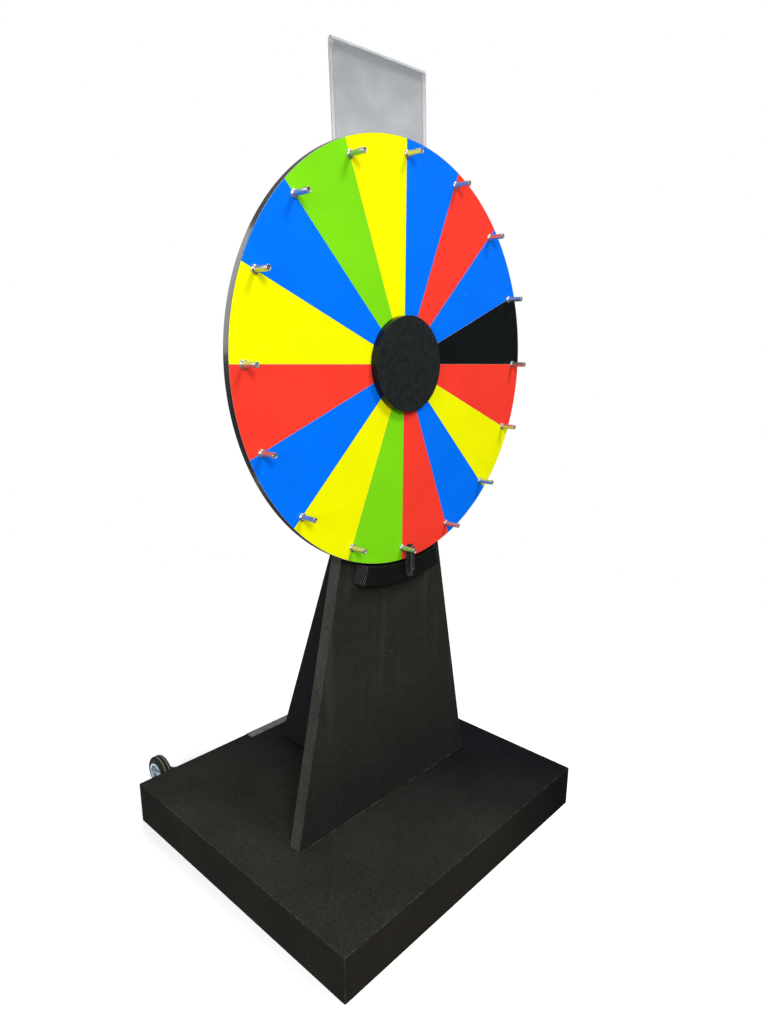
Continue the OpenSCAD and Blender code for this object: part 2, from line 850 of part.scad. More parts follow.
module wheel_disc() {
    color([0.22, 0.22, 0.23]) difference() {
        facing_front(0, disc_rear, hub_z) cylinder(d = wheel_d, h = disc_t, $fn = 360);
        facing_front(0, disc_rear + 1, hub_z) cylinder(d = shaft_d + 2 * hole_play, h = disc_t + 2);
        peg_places(disc_rear) shank_hole(stud_d, disc_t);
        flange_bolt_places(disc_rear) shank_hole(flange_bolt_d, disc_t);
        cover_screw_places(disc_rear) shank_hole(cover_screw_d, disc_t);
    }
}

// One sheet, drawn at the top of the wheel; its sides stand back from the neighbours
module sector_sheet() {
    half = sector_angle / 2;
    apex = foil_gap / 2 / sin(half);
    intersection() {
        difference() {
            circle(wheel_r - foil_margin, $fn = 360);
            circle(foil_inner_r, $fn = 180);
        }
        translate([0, apex])
            polygon([[0, 0], [-wheel_d * tan(half), wheel_d], [wheel_d * tan(half), wheel_d]]);
    }
}

module sectors(name) {
    difference() {
        for (i = [0:sectors_n - 1]) if (SECTORS[i] == name)
            facing_front(0, disc_front, hub_z) rotate([0, 0, -(i + 0.5) * sector_angle])
                linear_extrude(foil_t) sector_sheet();
        peg_places(disc_front) shank_hole(stud_d, foil_t);
        cover_screw_places(disc_front) shank_hole(cover_screw_d, foil_t);
    }
}

module blue_sectors() {
    color([0.00, 0.47, 1.00]) sectors("blue");
}

module red_sectors() {
    color([1.00, 0.27, 0.22]) sectors("red");
}

module yellow_sectors() {
    color([0.97, 0.99, 0.00]) sectors("yellow");
}

module green_sectors() {
    color([0.51, 0.88, 0.10]) sectors("green");
}

module black_sector() {
    color([0.11, 0.12, 0.12]) sectors("black");
}

module hub_cover() {
    color([0.14, 0.16, 0.16]) difference() {
        facing_front(0, wheel_face, hub_z) cylinder(d = cover_d, h = cover_h);
        facing_front(0, wheel_face + 1, hub_z) cylinder(r = cover_inner_r, h = cover_h - cover_face_t + 1);
        cover_screw_places(wheel_face) shank_hole(cover_screw_d, cover_screw_bite);
    }
}

module cover_screws() {
    color(zinc) cover_screw_places(disc_rear)
        pan_screw(cover_screw_d, disc_t + foil_t + cover_screw_bite);
}

// The flange lies on the disc's front, under the cover
module spindle() {
    color(steel) difference() {
        union() {
            facing_front(0, disc_front, hub_z) cylinder(d = flange_d, h = flange_t);
            facing_rear(0, disc_front, hub_z) cylinder(d = shaft_d, h = spindle_end - disc_front);
        }
        flange_bolt_places(disc_front) shank_hole(flange_bolt_d, flange_t);
    }
}

module flange_bolts() {
    bolt_len = flange_t + disc_t + flange_bolt_d * nut_height;
    r = flange_circle / 2;
    color(zinc) for (i = [0:flange_bolts_n - 1]) {
        angle = i * 360 / flange_bolts_n;
        facing_rear(r * sin(angle), disc_front - flange_t, hub_z + r * cos(angle))
            hex_bolt(flange_bolt_d, bolt_len);
    }
}

module flange_nuts() {
    nut_h = flange_bolt_d * nut_height;
    color(zinc) flange_bolt_places(disc_rear + nut_h) hex_nut(flange_bolt_d, flange_bolt_d * head_af, nut_h);
}

module peg_sleeves() {
    color(chrome) peg_places(wheel_face - collar_h)
        tube(peg_d, stud_d + 2 * hole_play, peg_len - collar_h);
}

// The collar's front edge is bevelled
module peg_collars() {
    wall_h = collar_h - collar_bevel;
    color(chrome) peg_places(wheel_face) difference() {
        union() {
            cylinder(d = collar_d, h = wall_h);
            translate([0, 0, wall_h])
                cylinder(d1 = collar_d, d2 = collar_d - 2 * collar_bevel, h = collar_bevel);
        }
        shank_hole(stud_d, collar_h);
    }
}

module peg_studs() {
    shank_len = peg_nut_h + disc_t + foil_t + peg_len - stud_recess - stud_bevel;
    color(steel) peg_places(disc_rear + peg_nut_h) {
        cylinder(d = stud_d, h = shank_len, $fn = small_fn);
        translate([0, 0, shank_len])
            cylinder(d1 = stud_d, d2 = stud_d - 2 * stud_bevel, h = stud_bevel, $fn = small_fn);
    }
}

module peg_nuts() {
    color(zinc) peg_places(disc_rear + peg_nut_h) hex_nut(stud_d, peg_nut_af, peg_nut_h);
}

module housing_screw_places() {
    step = housing_circle / 2 * cos(45);
    for (sx = SIDES) for (sz = SIDES)
        facing_front(sx * step, housing_rear, hub_z + sz * step) children();
}

// A flanged sleeve through the panel, with a lip between its two bearing seats
module bearing_housing() {
    seat_d = bearing_od + 2 * hole_play;
    color(steel) difference() {
        union() {
            facing_rear(0, panel_front, hub_z) cylinder(d = housing_od, h = housing_rear - panel_front);
            facing_rear(0, panel_rear, hub_z) cylinder(d = housing_flange_d, h = housing_flange_t);
        }
        facing_rear(0, panel_front - 1, hub_z)
            cylinder(d = outer_ring_id, h = housing_rear - panel_front + 2);
        facing_rear(0, panel_front - 1, hub_z) cylinder(d = seat_d, h = bearing_w + 1);
        facing_rear(0, rear_bearing_front, hub_z) cylinder(d = seat_d, h = bearing_w + 1);
        housing_screw_places() shank_hole(housing_screw_d, housing_flange_t);
    }
}

module housing_screws() {
    color(zinc) housing_screw_places() pan_screw(housing_screw_d, housing_flange_t + housing_screw_bite);
}

// Both bearings' places, each with its front face at zero and growing towards the rear
module bearing_places() {
    for (y = [panel_front, rear_bearing_front]) facing_rear(0, y, hub_z) children();
}

// The groove that the balls run in
module ball_track() {
    translate([0, 0, bearing_w / 2]) rotate_extrude()
        translate([pitch_d / 2, 0]) circle(d = ball_d + 2 * run_play, $fn = small_fn);
}

module bearing_outer_rings() {
    color(steel) bearing_places() difference() {
        tube(bearing_od, outer_ring_id, bearing_w);
        ball_track();
    }
}

module bearing_inner_rings() {
    color(steel) bearing_places() difference() {
        tube(inner_ring_od, shaft_d + 2 * run_play, bearing_w);
        ball_track();
    }
}

// Places of the balls in one bearing, each with its X pointing outwards
module ball_places() {
    for (i = [0:balls_n - 1])
        rotate([0, 0, i * 360 / balls_n]) translate([pitch_d / 2, 0, bearing_w / 2]) children();
}

module bearing_balls() {
    color(chrome) bearing_places() ball_places() sphere(d = ball_d, $fn = small_fn);
}

// A thin band midway between the rings, with a round window for each ball
module bearing_cages() {
    color(brass) bearing_places() difference() {
        translate([0, 0, (bearing_w - cage_w) / 2]) tube(pitch_d + cage_t, pitch_d - cage_t, cage_w);
        ball_places() rotate([0, 90, 0])
            cylinder(d = ball_d + 2 * run_play, h = 2 * cage_t, center = true, $fn = small_fn);
    }
}

module bearing_spacer() {
    color(steel) facing_rear(0, front_bearing_rear, hub_z)
        tube(inner_ring_od, shaft_d + 2 * run_play, rear_bearing_front - front_bearing_rear);
}

module front_spacer() {
    color(steel) facing_rear(0, disc_rear, hub_z)
        tube(inner_ring_od, shaft_d + 2 * run_play, wheel_gap);
}

module spindle_washer() {
    color(zinc) facing_rear(0, housing_rear, hub_z)
        tube(spindle_washer_d, shaft_d + 2 * run_play, spindle_washer_t);
}

module spindle_nut() {
    color(zinc) facing_rear(0, housing_rear + spindle_washer_t, hub_z)
        hex_nut(shaft_d, spindle_nut_af, spindle_nut_h);
}

// The pocket's own frame: it leans about the middle of its screws
module on_mast() {
    translate([pocket_shift, 0, pocket_foot + pocket_screw_rise]) rotate([0, -pocket_lean, 0]) children();
}

module pocket_screw_places(y) {
    on_mast() for (sx = SIDES) facing_rear(sx * pocket_screw_across / 2, y, 0) children();
}

module header_mast() {
    color([0.66, 0.67, 0.68]) difference() {
        box([-mast_w / 2, panel_rear, mast_foot], [mast_w / 2, mast_rear, mast_top]);
        for (p = MAST_SCREWS) facing_front(p[0], mast_rear, p[1]) shank_hole(mast_screw_d, mast_t);
        pocket_screw_places(panel_rear) shank_hole(pocket_screw_d, mast_t);
    }
}

module mast_screws() {
    color(zinc) for (p = MAST_SCREWS) facing_front(p[0], mast_rear, p[1])
        pan_screw(mast_screw_d, mast_t + mast_screw_bite);
}

// A sheet folded over at the top, open at its sides and below
module header_pocket() {
    fold_z = pocket_h - pocket_t / 2;
    color([0.80, 0.83, 0.84, 0.35]) difference() {
        on_mast() facing_right(-pocket_w / 2, mast_rear, -pocket_screw_rise) linear_extrude(pocket_w) {
            for (y = [0, pocket_t - sheet_t]) translate([y, 0]) square([sheet_t, fold_z]);
            intersection() {
                translate([pocket_t / 2, fold_z]) difference() {
                    circle(d = pocket_t);
                    circle(d = pocket_t - 2 * sheet_t);
                }
                translate([0, fold_z]) square([pocket_t, pocket_t]);
            }
        }
        pocket_screw_places(mast_rear) shank_hole(pocket_screw_d, sheet_t);
    }
}

module pocket_screws() {
    color(zinc) pocket_screw_places(panel_rear) pan_screw(pocket_screw_d, mast_t + sheet_t + pocket_nut_h);
}

module pocket_nuts() {
    color(zinc) pocket_screw_places(mast_rear + sheet_t)
        hex_nut(pocket_screw_d, pocket_screw_d * head_af, pocket_nut_h);
}

// Places on both casters' plates; the shapes grow towards the base
module caster_screw_places() {
    for (side = SIDES) for (p = PLATE_SCREWS)
        facing_front(side * caster_x + p[0], base_rear + plate_t, p[1]) children();
}

module caster_screw_holes() {
    caster_screw_places() shank_hole(caster_screw_d, caster_screw_len);
}

module caster_screws() {
    color(zinc) caster_screw_places() pan_screw(caster_screw_d, caster_screw_len);
}

// The legs of one fork seen from above, from the plate to past the axle
module fork_plan() {
    leg_end = axle_reach + leg_end_r;
    for (side = SIDES) polygon([
        [side * fork_root_w / 2, plate_t], [side * (fork_root_w / 2 + plate_t), plate_t],
        [side * (fork_w / 2 + plate_t), leg_bend], [side * (fork_w / 2 + plate_t), leg_end],
        [side * fork_w / 2, leg_end], [side * fork_w / 2, leg_bend]
    ]);
}

// A leg seen from the side, narrowing from the plate to a round end at the axle
module leg_side() {
    polygon([
        [plate_t, plate_rise - leg_root_h / 2], [axle_reach, axle_rise - leg_end_r],
        [axle_reach, axle_rise + leg_end_r], [plate_t, plate_rise + leg_root_h / 2]
    ]);
    translate([axle_reach, axle_rise]) circle(leg_end_r);
}

module caster_brackets() {
    color(zinc) difference() {
        for (side = SIDES) translate([side * caster_x, base_rear, 0]) {
            translate([-plate_w / 2, 0, plate_rise - plate_h / 2]) cube([plate_w, plate_t, plate_h]);
            intersection() {
                linear_extrude(2 * (plate_rise + plate_h)) fork_plan();
                facing_right(-plate_w, 0, 0) linear_extrude(2 * plate_w) leg_side();
            }
        }
        caster_screw_holes();
        for (side = SIDES) facing_right(side * caster_x - plate_w, axle_y, axle_rise)
            cylinder(d = axle_d + 2 * hole_play, h = 2 * plate_w, $fn = small_fn);
    }
}

// The tyre's tread is slightly crowned by bevelled shoulders
module caster_tyre(side) {
    bore_r = tyre_bore_d / 2 + hole_play;
    tyre_r = caster_d / 2;
    half_w = caster_w / 2;
    color([0.10, 0.10, 0.10]) facing_right(side * caster_x, axle_y, axle_rise) rotate_extrude() polygon([
        [bore_r, -half_w], [tyre_r - tyre_shoulder, -half_w], [tyre_r, tyre_shoulder - half_w],
        [tyre_r, half_w - tyre_shoulder], [tyre_r - tyre_shoulder, half_w], [bore_r, half_w]
    ]);
}

module left_caster_tyre() {
    caster_tyre(-1);
}

module right_caster_tyre() {
    caster_tyre(1);
}

// Hub, web and rim in one piece; the web leans in from the rim like a dish on both sides
module caster_core(side) {
    bore_r = axle_sleeve_d / 2 + run_play;
    hub_r = caster_hub_d / 2;
    rim_r = tyre_bore_d / 2;
    color(zinc) facing_right(side * caster_x, axle_y, axle_rise) rotate_extrude() polygon([
        [bore_r, -caster_hub_w / 2], [hub_r, -caster_hub_w / 2],
        [hub_r, -web_t / 2 - web_swell], [rim_r - rim_t, -web_t / 2],
        [rim_r - rim_t, -rim_w / 2], [rim_r, -rim_w / 2],
        [rim_r, rim_w / 2], [rim_r - rim_t, rim_w / 2],
        [rim_r - rim_t, web_t / 2], [hub_r, web_t / 2 + web_swell],
        [hub_r, caster_hub_w / 2], [bore_r, caster_hub_w / 2]
    ]);
}

module left_caster_core() {
    caster_core(-1);
}

module right_caster_core() {
    caster_core(1);
}

module caster_sleeves() {
    color(steel) for (side = SIDES) facing_right(side * caster_x - fork_w / 2, axle_y, axle_rise)
        tube(axle_sleeve_d, axle_d + 2 * hole_play, fork_w);
}

// Each axle bolt has its head on the fork's outer leg
module caster_bolts() {
    bolt_len = fork_w + 2 * plate_t + axle_d * nut_height;
    color(zinc) for (side = SIDES) translate([side * (caster_x + fork_w / 2 + plate_t), axle_y, axle_rise])
        rotate([0, -side * 90, 0]) hex_bolt(axle_d, bolt_len);
}

module caster_nuts() {
    nut_h = axle_d * nut_height;
    color(zinc) for (side = SIDES) translate([side * (caster_x - fork_w / 2 - plate_t), axle_y, axle_rise])
        rotate([0, -side * 90, 0]) hex_nut(axle_d, axle_d * head_af, nut_h);
}

base_top();
front_rail();
rear_rail();
side_rails();
bottom_board();
panel_bearer();
rib_bearer();
corner_blocks();
bottom_screws();
rear_strip();
strip_screws();
front_panel();
rear_rib();
rib_dowels();
stand_bolts();
stand_washers();
foot_inserts();
pointer_block();
block_screws();
flapper();
flapper_pin();
wheel_disc();
blue_sectors();
red_sectors();
yellow_sectors();
green_sectors();
black_sector();
hub_cover();
cover_screws();
spindle();
flange_bolts();
flange_nuts();
peg_sleeves();
peg_collars();
peg_studs();
peg_nuts();
bearing_housing();
housing_screws();
bearing_outer_rings();
bearing_balls();
bearing_cages();
bearing_inner_rings();
bearing_spacer();
front_spacer();
spindle_washer();
spindle_nut();
header_mast();
mast_screws();
header_pocket();
pocket_screws();
pocket_nuts();
caster_brackets();
left_caster_tyre();
right_caster_tyre();
left_caster_core();
right_caster_core();
caster_sleeves();
caster_bolts();
caster_nuts();
caster_screws();
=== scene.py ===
# %% [markdown]
# # A prize wheel on its stand
# The packed model has every part of the prize wheel at its real size and place, in metres. The
# wheel faces -Y, and the floor is at Z = 0. This lesson dresses that model: it sets up a small
# studio, models again the parts whose soft edges show, and gives every surface a finish made of
# shader nodes.

# %% Load the packed model
import json
import math

import bmesh
import bpy
from mathutils import Matrix, Vector


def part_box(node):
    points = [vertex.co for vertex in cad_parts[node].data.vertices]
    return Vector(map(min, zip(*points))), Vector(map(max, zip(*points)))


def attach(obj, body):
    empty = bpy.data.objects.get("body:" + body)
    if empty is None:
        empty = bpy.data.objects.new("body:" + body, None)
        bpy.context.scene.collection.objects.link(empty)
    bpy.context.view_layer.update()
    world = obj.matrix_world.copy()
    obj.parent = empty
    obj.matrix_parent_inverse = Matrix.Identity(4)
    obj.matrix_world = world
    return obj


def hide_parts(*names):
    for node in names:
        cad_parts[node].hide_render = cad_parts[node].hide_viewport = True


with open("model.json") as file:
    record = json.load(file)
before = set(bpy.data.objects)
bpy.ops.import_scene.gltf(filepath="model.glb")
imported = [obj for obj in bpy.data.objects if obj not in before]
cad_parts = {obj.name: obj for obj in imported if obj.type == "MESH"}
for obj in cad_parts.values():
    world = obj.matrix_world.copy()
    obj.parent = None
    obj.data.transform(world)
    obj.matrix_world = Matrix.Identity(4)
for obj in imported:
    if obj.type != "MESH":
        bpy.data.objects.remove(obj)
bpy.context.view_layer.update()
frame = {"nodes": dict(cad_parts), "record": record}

# %% [markdown]
# ## The camera
# The photograph was taken from the left of the wheel, with the lens at chest height and tipped a
# little down. The camera could be aimed with a Track To constraint, but the photograph is cropped
# off its lens's middle, so its three turns and its shift are set as plain numbers instead.

# %% Place the camera
CAMERA_PLACE = Vector((-1.2718, -1.3296, 1.3705))
CAMERA_YAW, CAMERA_PITCH, CAMERA_ROLL = 48.44, 14.3, 0.95
LENS_MM = 24.07
SHIFT_X, SHIFT_Y = -0.029, 0.0158


def turn(degrees, axis):
    return Matrix.Rotation(math.radians(degrees), 4, axis)


bpy.ops.object.select_all(action="DESELECT")
bpy.ops.object.camera_add()
camera = bpy.context.object
camera.matrix_world = (Matrix.Translation(CAMERA_PLACE) @ turn(-CAMERA_YAW, "Z")
                       @ turn(90 - CAMERA_PITCH, "X") @ turn(CAMERA_ROLL, "Z"))
camera.data.lens = LENS_MM
camera.data.shift_x, camera.data.shift_y = SHIFT_X, SHIFT_Y
bpy.context.scene.camera = camera
print("camera", round(CAMERA_PLACE.xy.length, 2), "m from the stand")

# %% [markdown]
# ## Shader maths as Python
# A finish is a small sum: noise times a share, plus an edge mask, and so on. Each step is a Math
# node, and wiring dozens of them by name is hard to read. This class wraps one socket, so that
# plain Python arithmetic on it adds the Math nodes. Every other node comes from the one method
# `node`, which sets the node's own settings first and then a value or a wire for each of its
# sockets.

# %% A socket that takes part in arithmetic
class Wire:
    """One output socket of a shader tree."""

    def __init__(self, socket):
        self.socket = socket

    def node(self, kind, settings, values, output=0):
        tree = self.socket.id_data
        made = tree.nodes.new(kind)
        for name, value in settings.items():
            setattr(made, name, value)
        for key, value in values.items():
            if isinstance(value, Wire):
                tree.links.new(value.socket, made.inputs[key])
            else:
                made.inputs[key].default_value = value
        return Wire(made.outputs[output])

    def beside(self, output):
        """Another output of the node that this wire comes from."""
        return Wire(self.socket.node.outputs[output])

    def sum(self, operation, *values):
        return self.node("ShaderNodeMath", {"operation": operation}, dict(enumerate(values)))

    def __add__(self, other):
        return self.sum("ADD", self, other)

    def __sub__(self, other):
        return self.sum("SUBTRACT", self, other)

    def __rsub__(self, other):
        return self.sum("SUBTRACT", other, self)

    def __mul__(self, other):
        return self.sum("MULTIPLY", self, other)

    def __truediv__(self, other):
        return self.sum("DIVIDE", self, other)

    def __mod__(self, other):
        return self.sum("FLOORED_MODULO", self, other)

    def __lt__(self, other):
        return self.sum("LESS_THAN", self, other)

    def __gt__(self, other):
        return self.sum("GREATER_THAN", self, other)

    def __abs__(self):
        return self.sum("ABSOLUTE", self)

    def __floor__(self):
        return self.sum("FLOOR", self)

    __radd__ = __add__
    __rmul__ = __mul__


print("a wire has", len([part for part in vars(Wire).values() if callable(part)]), "methods")

# %% [markdown]
# ## Small helpers for finishes
# Every finish starts from Object coordinates. All objects sit at the origin, so these are metres
# in the wheel's own frame, and a pattern stays on its part when the part moves. The main helpers
# are noise, whose scale is roughly the number of grains in a metre, a soft step from 0 to 1, and
# a mix of two colours by a mask. Colours are written as the 0 to 255 values that a colour picker
# shows.

# %% Colours and materials
def paint(red, green, blue):
    """A picked colour as the linear values that shaders use."""
    shares = [c / 255 for c in (red, green, blue)]
    return (*[s / 12.92 if s <= 0.04045 else ((s + 0.055) / 1.055) ** 2.4 for s in shares], 1.0)


def new_finish(name, **constants):
    """A material with its constants set; gives its shader and the wire of Object coordinates."""
    material = bpy.data.materials.new(name)
    material.use_nodes = True
    shader = material.node_tree.nodes["Principled BSDF"]
    for socket, value in constants.items():
        shader.inputs[socket.replace("_", " ")].default_value = value
    coordinates = material.node_tree.nodes.new("ShaderNodeTexCoord")
    return material, shader, Wire(coordinates.outputs["Object"])


def feed(shader, **wires):
    """Link wires to the shader's sockets by their names."""
    for socket, wire in wires.items():
        shader.id_data.links.new(wire.socket, shader.inputs[socket.replace("_", " ")])


print("mid grey as a shader value", round(paint(128, 128, 128)[0], 3))

# %% Noise, steps and mixes
# A Mix node has sockets for every type of value. These are the ones that it uses for colours.
MIX_FACTOR, MIX_FIRST, MIX_SECOND, MIX_RESULT = 0, 6, 7, 2


def noise(where, scale, detail=2):
    return where.node("ShaderNodeTexNoise", {},
                      {"Vector": where, "Scale": scale, "Detail": detail})


def step(wire, low, high):
    return wire.node("ShaderNodeMapRange", {"interpolation_type": "SMOOTHSTEP"},
                     {"Value": wire, "From Min": low, "From Max": high})


def mix(mask, first, second):
    return mask.node("ShaderNodeMix", {"data_type": "RGBA"},
                     {MIX_FACTOR: mask, MIX_FIRST: first, MIX_SECOND: second}, MIX_RESULT)


def bump(height, depth):
    """A normal from a height of 0 to 1 that stands for a depth in metres."""
    return height.node("ShaderNodeBump", {}, {"Height": height, "Distance": depth}, "Normal")


def stretch(where, x, y, z):
    return where.node("ShaderNodeMapping", {}, {"Vector": where, "Scale": (x, y, z)})


def axes(where):
    split = where.node("ShaderNodeSeparateXYZ", {}, {"Vector": where})
    return [split.beside(axis) for axis in "XYZ"]


print("node helpers", [made.__name__ for made in (noise, step, mix, bump, stretch, axes)])

# %% [markdown]
# ## The studio
# The photograph shows the wheel cut out on white. Each peg throws two soft shadows, down to the
# left and down to the right, so the light comes from two places overhead in front of it. Large
# area lights far off give such shadows evenly. A weaker one fills from the left and one from
# behind. Two cards at the rear left light nothing but show in glossy surfaces: a high one in the
# rim, a low one in the caster. The world is white where the camera looks straight at it. What it
# sheds on the wheel is dimmer, and dimmer still from below, because a white room would turn every
# black board grey. Seen through a clear sheet it lies between the two, and grows darker upwards.

# %% Light the studio
WHITE = (1, 1, 1, 1)
ROOM_ABOVE, ROOM_BELOW, HORIZON = 0.29, 0.11, 0.3
THROUGH_LOW, THROUGH_HIGH = 1.05, 0.68
DIM_FROM, DIM_TO = 0.26, 0.345
LAMPS = [  # place, width, height, power, lights surfaces, shows in gloss
    ((-2.4, -4.0, 3.3), 1.2, 1.2, 125, True, True),
    ((1.3, -3.6, 5.2), 1.5, 1.5, 143, True, True),
    ((-3.2, -1.2, 1.8), 1.4, 1.4, 44, True, True),
    ((1.2, 3.0, 3.2), 2.2, 2.2, 45, True, False),
    ((-1.6, 2.2, 2.4), 1.6, 2.0, 24, False, True),
    ((-1.26, 2.36, -1.2), 0.7, 0.7, 2.6, False, True),
]
AIM = Vector((0, -0.1, 1.1))

world = bpy.data.worlds.new("white_room")
bpy.context.scene.world = world
world.use_nodes = True
background = world.node_tree.nodes["Background"]
background.inputs["Color"].default_value = WHITE
looked_at = Wire(world.node_tree.nodes.new("ShaderNodeLightPath").outputs["Is Camera Ray"])
looked_through = looked_at.beside("Is Transmission Ray")
direction = Wire(world.node_tree.nodes.new("ShaderNodeTexCoord").outputs["Generated"])
up = axes(direction)[2]
room = step(up, -HORIZON, HORIZON) * (ROOM_ABOVE - ROOM_BELOW) + ROOM_BELOW
through = step(up, DIM_FROM, DIM_TO) * (THROUGH_HIGH - THROUGH_LOW) + THROUGH_LOW
room = room + looked_through * (through - room)
room = room + looked_at * (1 - room)
world.node_tree.links.new(room.socket, background.inputs["Strength"])
for place, width, height, power, lights, shines in LAMPS:
    bpy.ops.object.light_add(type="AREA", location=place)
    lamp = bpy.context.object
    lamp.rotation_euler = (AIM - Vector(place)).to_track_quat("-Z", "Y").to_euler()
    lamp.data.shape = "RECTANGLE"
    lamp.data.size, lamp.data.size_y = width, height
    lamp.data.energy = power
    lamp.visible_camera = lamp.visible_transmission = False
    lamp.visible_diffuse, lamp.visible_glossy = lights, shines
bpy.context.scene.view_settings.view_transform = "Standard"
print("lamps", len(LAMPS))

# %% [markdown]
# The floor is a plain pale disc. Its rim fades out by Alpha, so that no horizon cuts through the
# picture. It shows to the camera alone, so it throws no light back on the black boards.

# %% Lay the floor
FLOOR_RADIUS, FADE_START = 3.0, 0.9
FLOOR_GREY, FLOOR_WHITE, FLOOR_GLOW = (0.86, 0.86, 0.86, 1), (0.9, 0.9, 0.9, 1), 0.42

bpy.ops.mesh.primitive_circle_add(vertices=96, radius=FLOOR_RADIUS, fill_type="NGON")
floor = bpy.context.object
floor.name = "floor"
floor.visible_diffuse = floor.visible_glossy = floor.visible_transmission = False
material, shader, where = new_finish("pale_floor", Roughness=0.9, Specular_IOR_Level=0.0,
                                     Emission_Strength=FLOOR_GLOW, Emission_Color=WHITE)
distance = where.node("ShaderNodeVectorMath", {"operation": "LENGTH"}, {0: where}, "Value")
feed(shader, Alpha=1 - step(distance, FADE_START, FLOOR_RADIUS),
     Base_Color=mix(noise(where, 3), FLOOR_GREY, FLOOR_WHITE))
floor.data.materials.append(material)
print("floor radius", FLOOR_RADIUS, "m")

# %% [markdown]
# ## Small helpers for modelling
# Each new piece starts as a primitive of the right size at the right place, read from the packed
# model. Then it is opened in edit mode, where operators work on what is selected. Nothing can be
# clicked in a script, so `pick` selects faces, edges or corners by a test on their place or
# direction. At the end, smooth shading with weighted normals keeps large faces flat and lets the
# rounded edges catch the light.

# %% Measure the packed model
EPS = 1e-5


def tell(numbers):
    """Numbers rounded for printing."""
    return [round(number, 4) for number in numbers]


def span(*names):
    """The box round several CAD nodes."""
    boxes = [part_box(name) for name in names]
    return (Vector(min(low[k] for low, high in boxes) for k in range(3)),
            Vector(max(high[k] for low, high in boxes) for k in range(3)))


def points_of(node):
    """The corners of a CAD node's mesh."""
    return [corner.co for corner in frame["nodes"][node].data.vertices]


def nearest_to_axis(points):
    """How close points come to the wheel's axis: the radius of a bore round it."""
    return min(math.hypot(co.x, co.z - HUB.z) for co in points)


hub_low, hub_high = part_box("hub_cover")
HUB = (hub_low + hub_high) / 2
print("wheel axis at height", round(HUB.z, 4))

# %% Add a primitive and select in it
# How far a face's normal has to lie along an axis for the face to count as facing that way.
LEANING, FACING, SQUARE_ON = 0.5, 0.9, 0.99


def open_piece(name):
    """Name the new primitive, move its place into its mesh, and open it in edit mode."""
    piece = bpy.context.object
    piece.name = name
    bpy.ops.object.transform_apply()
    bpy.ops.object.mode_set(mode="EDIT")
    return piece


def add_block(name, low, high):
    bpy.ops.object.select_all(action="DESELECT")
    bpy.ops.mesh.primitive_cube_add(size=1, location=(low + high) / 2, scale=high - low)
    return open_piece(name)


def add_round(name, axis, centre, radius, length, sides, ends="NGON"):
    """A cylinder along X or Y; along Y, its upper end faces the front."""
    turned = {"X": (0, math.pi / 2, 0), "Y": (math.pi / 2, 0, 0)}[axis]
    bpy.ops.object.select_all(action="DESELECT")
    bpy.ops.mesh.primitive_cylinder_add(vertices=sides, radius=radius, depth=length,
                                        location=centre, rotation=turned, end_fill_type=ends)
    return open_piece(name)


def pick(kind, test):
    """In edit mode, select only what passes a test: kind is VERT, EDGE or FACE."""
    bpy.ops.mesh.select_mode(type=kind)
    bpy.ops.mesh.select_all(action="DESELECT")
    mesh = bmesh.from_edit_mesh(bpy.context.edit_object.data)
    for part in {"VERT": mesh.verts, "EDGE": mesh.edges, "FACE": mesh.faces}[kind]:
        if test(part):
            part.select_set(True)
    bmesh.update_edit_mesh(bpy.context.edit_object.data)


def both_ends(test):
    """A test for edges whose two ends pass a test on their place."""
    return lambda edge: all(test(corner.co) for corner in edge.verts)


print("facing an axis means within", round(math.degrees(math.acos(FACING))), "degrees")

# %% Shape a piece and close it
SMOOTH_ANGLE = math.radians(40)


def round_over(width, segments=3):
    """Round the selected edges."""
    bpy.ops.mesh.bevel(offset=width, segments=segments, affect="EDGES")


def push(x=0, y=0, z=0):
    """Extrude the selected faces along a line."""
    bpy.ops.mesh.extrude_region_move(TRANSFORM_OT_translate={"value": (x, y, z)})


def modify(piece, kind, **settings):
    """Add a modifier to a piece and apply it at once."""
    made = piece.modifiers.new(kind.lower(), kind)
    for name, value in settings.items():
        setattr(made, name, value)
    bpy.ops.object.select_all(action="DESELECT")
    bpy.context.view_layer.objects.active = piece
    piece.select_set(True)
    bpy.ops.object.modifier_apply(modifier=made.name)


def cut(piece, cutter):
    """Take one shape away from another with a Boolean, and delete the cutter."""
    bpy.ops.object.mode_set(mode="OBJECT")
    modify(piece, "BOOLEAN", operation="DIFFERENCE", object=cutter)
    bpy.data.objects.remove(cutter)


def close_piece(piece):
    """Back to object mode, with smooth shading that keeps flat faces flat."""
    if bpy.context.mode != "OBJECT":
        bpy.ops.object.mode_set(mode="OBJECT")
    bpy.ops.object.shade_smooth_by_angle(angle=SMOOTH_ANGLE)
    modify(piece, "WEIGHTED_NORMAL", keep_sharp=True)
    print(piece.name, len(piece.data.polygons), "faces")


def hand_over(piece, body, slot, *nodes):
    """Let a piece move with a body and stand for its CAD nodes. The slot is not used."""
    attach(piece, body)
    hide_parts(*nodes)


print("shading is smooth up to", round(math.degrees(SMOOTH_ANGLE)), "degrees")

# %% [markdown]
# ## The base
# The base is a box of black boards that meet in mitres, so only faces show, with slightly rounded
# edges. A solid block would look the same from above, but it would have no inside. Here the
# block's underside is inset by the boards' thickness and pushed up, which leaves a shell, and a
# Boolean lets in the metal strip at the rear.

# %% Model the base
BASE_NODES = ["base_top", "front_rail", "rear_rail", "side_rails"]
BASE_ROUND = 0.004

base_low, base_high = span(*BASE_NODES)
wall = base_high.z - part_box("base_top")[0].z
base = add_block("base_shell", base_low, base_high)
pick("FACE", lambda face: face.normal.z < -FACING)
bpy.ops.mesh.inset(thickness=wall)
push(z=base_high.z - base_low.z - wall)
print("base", tell(base_high - base_low), "wall", round(wall, 4))

# %% Round its edges and let in the strip
strip_low, strip_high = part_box("rear_strip")


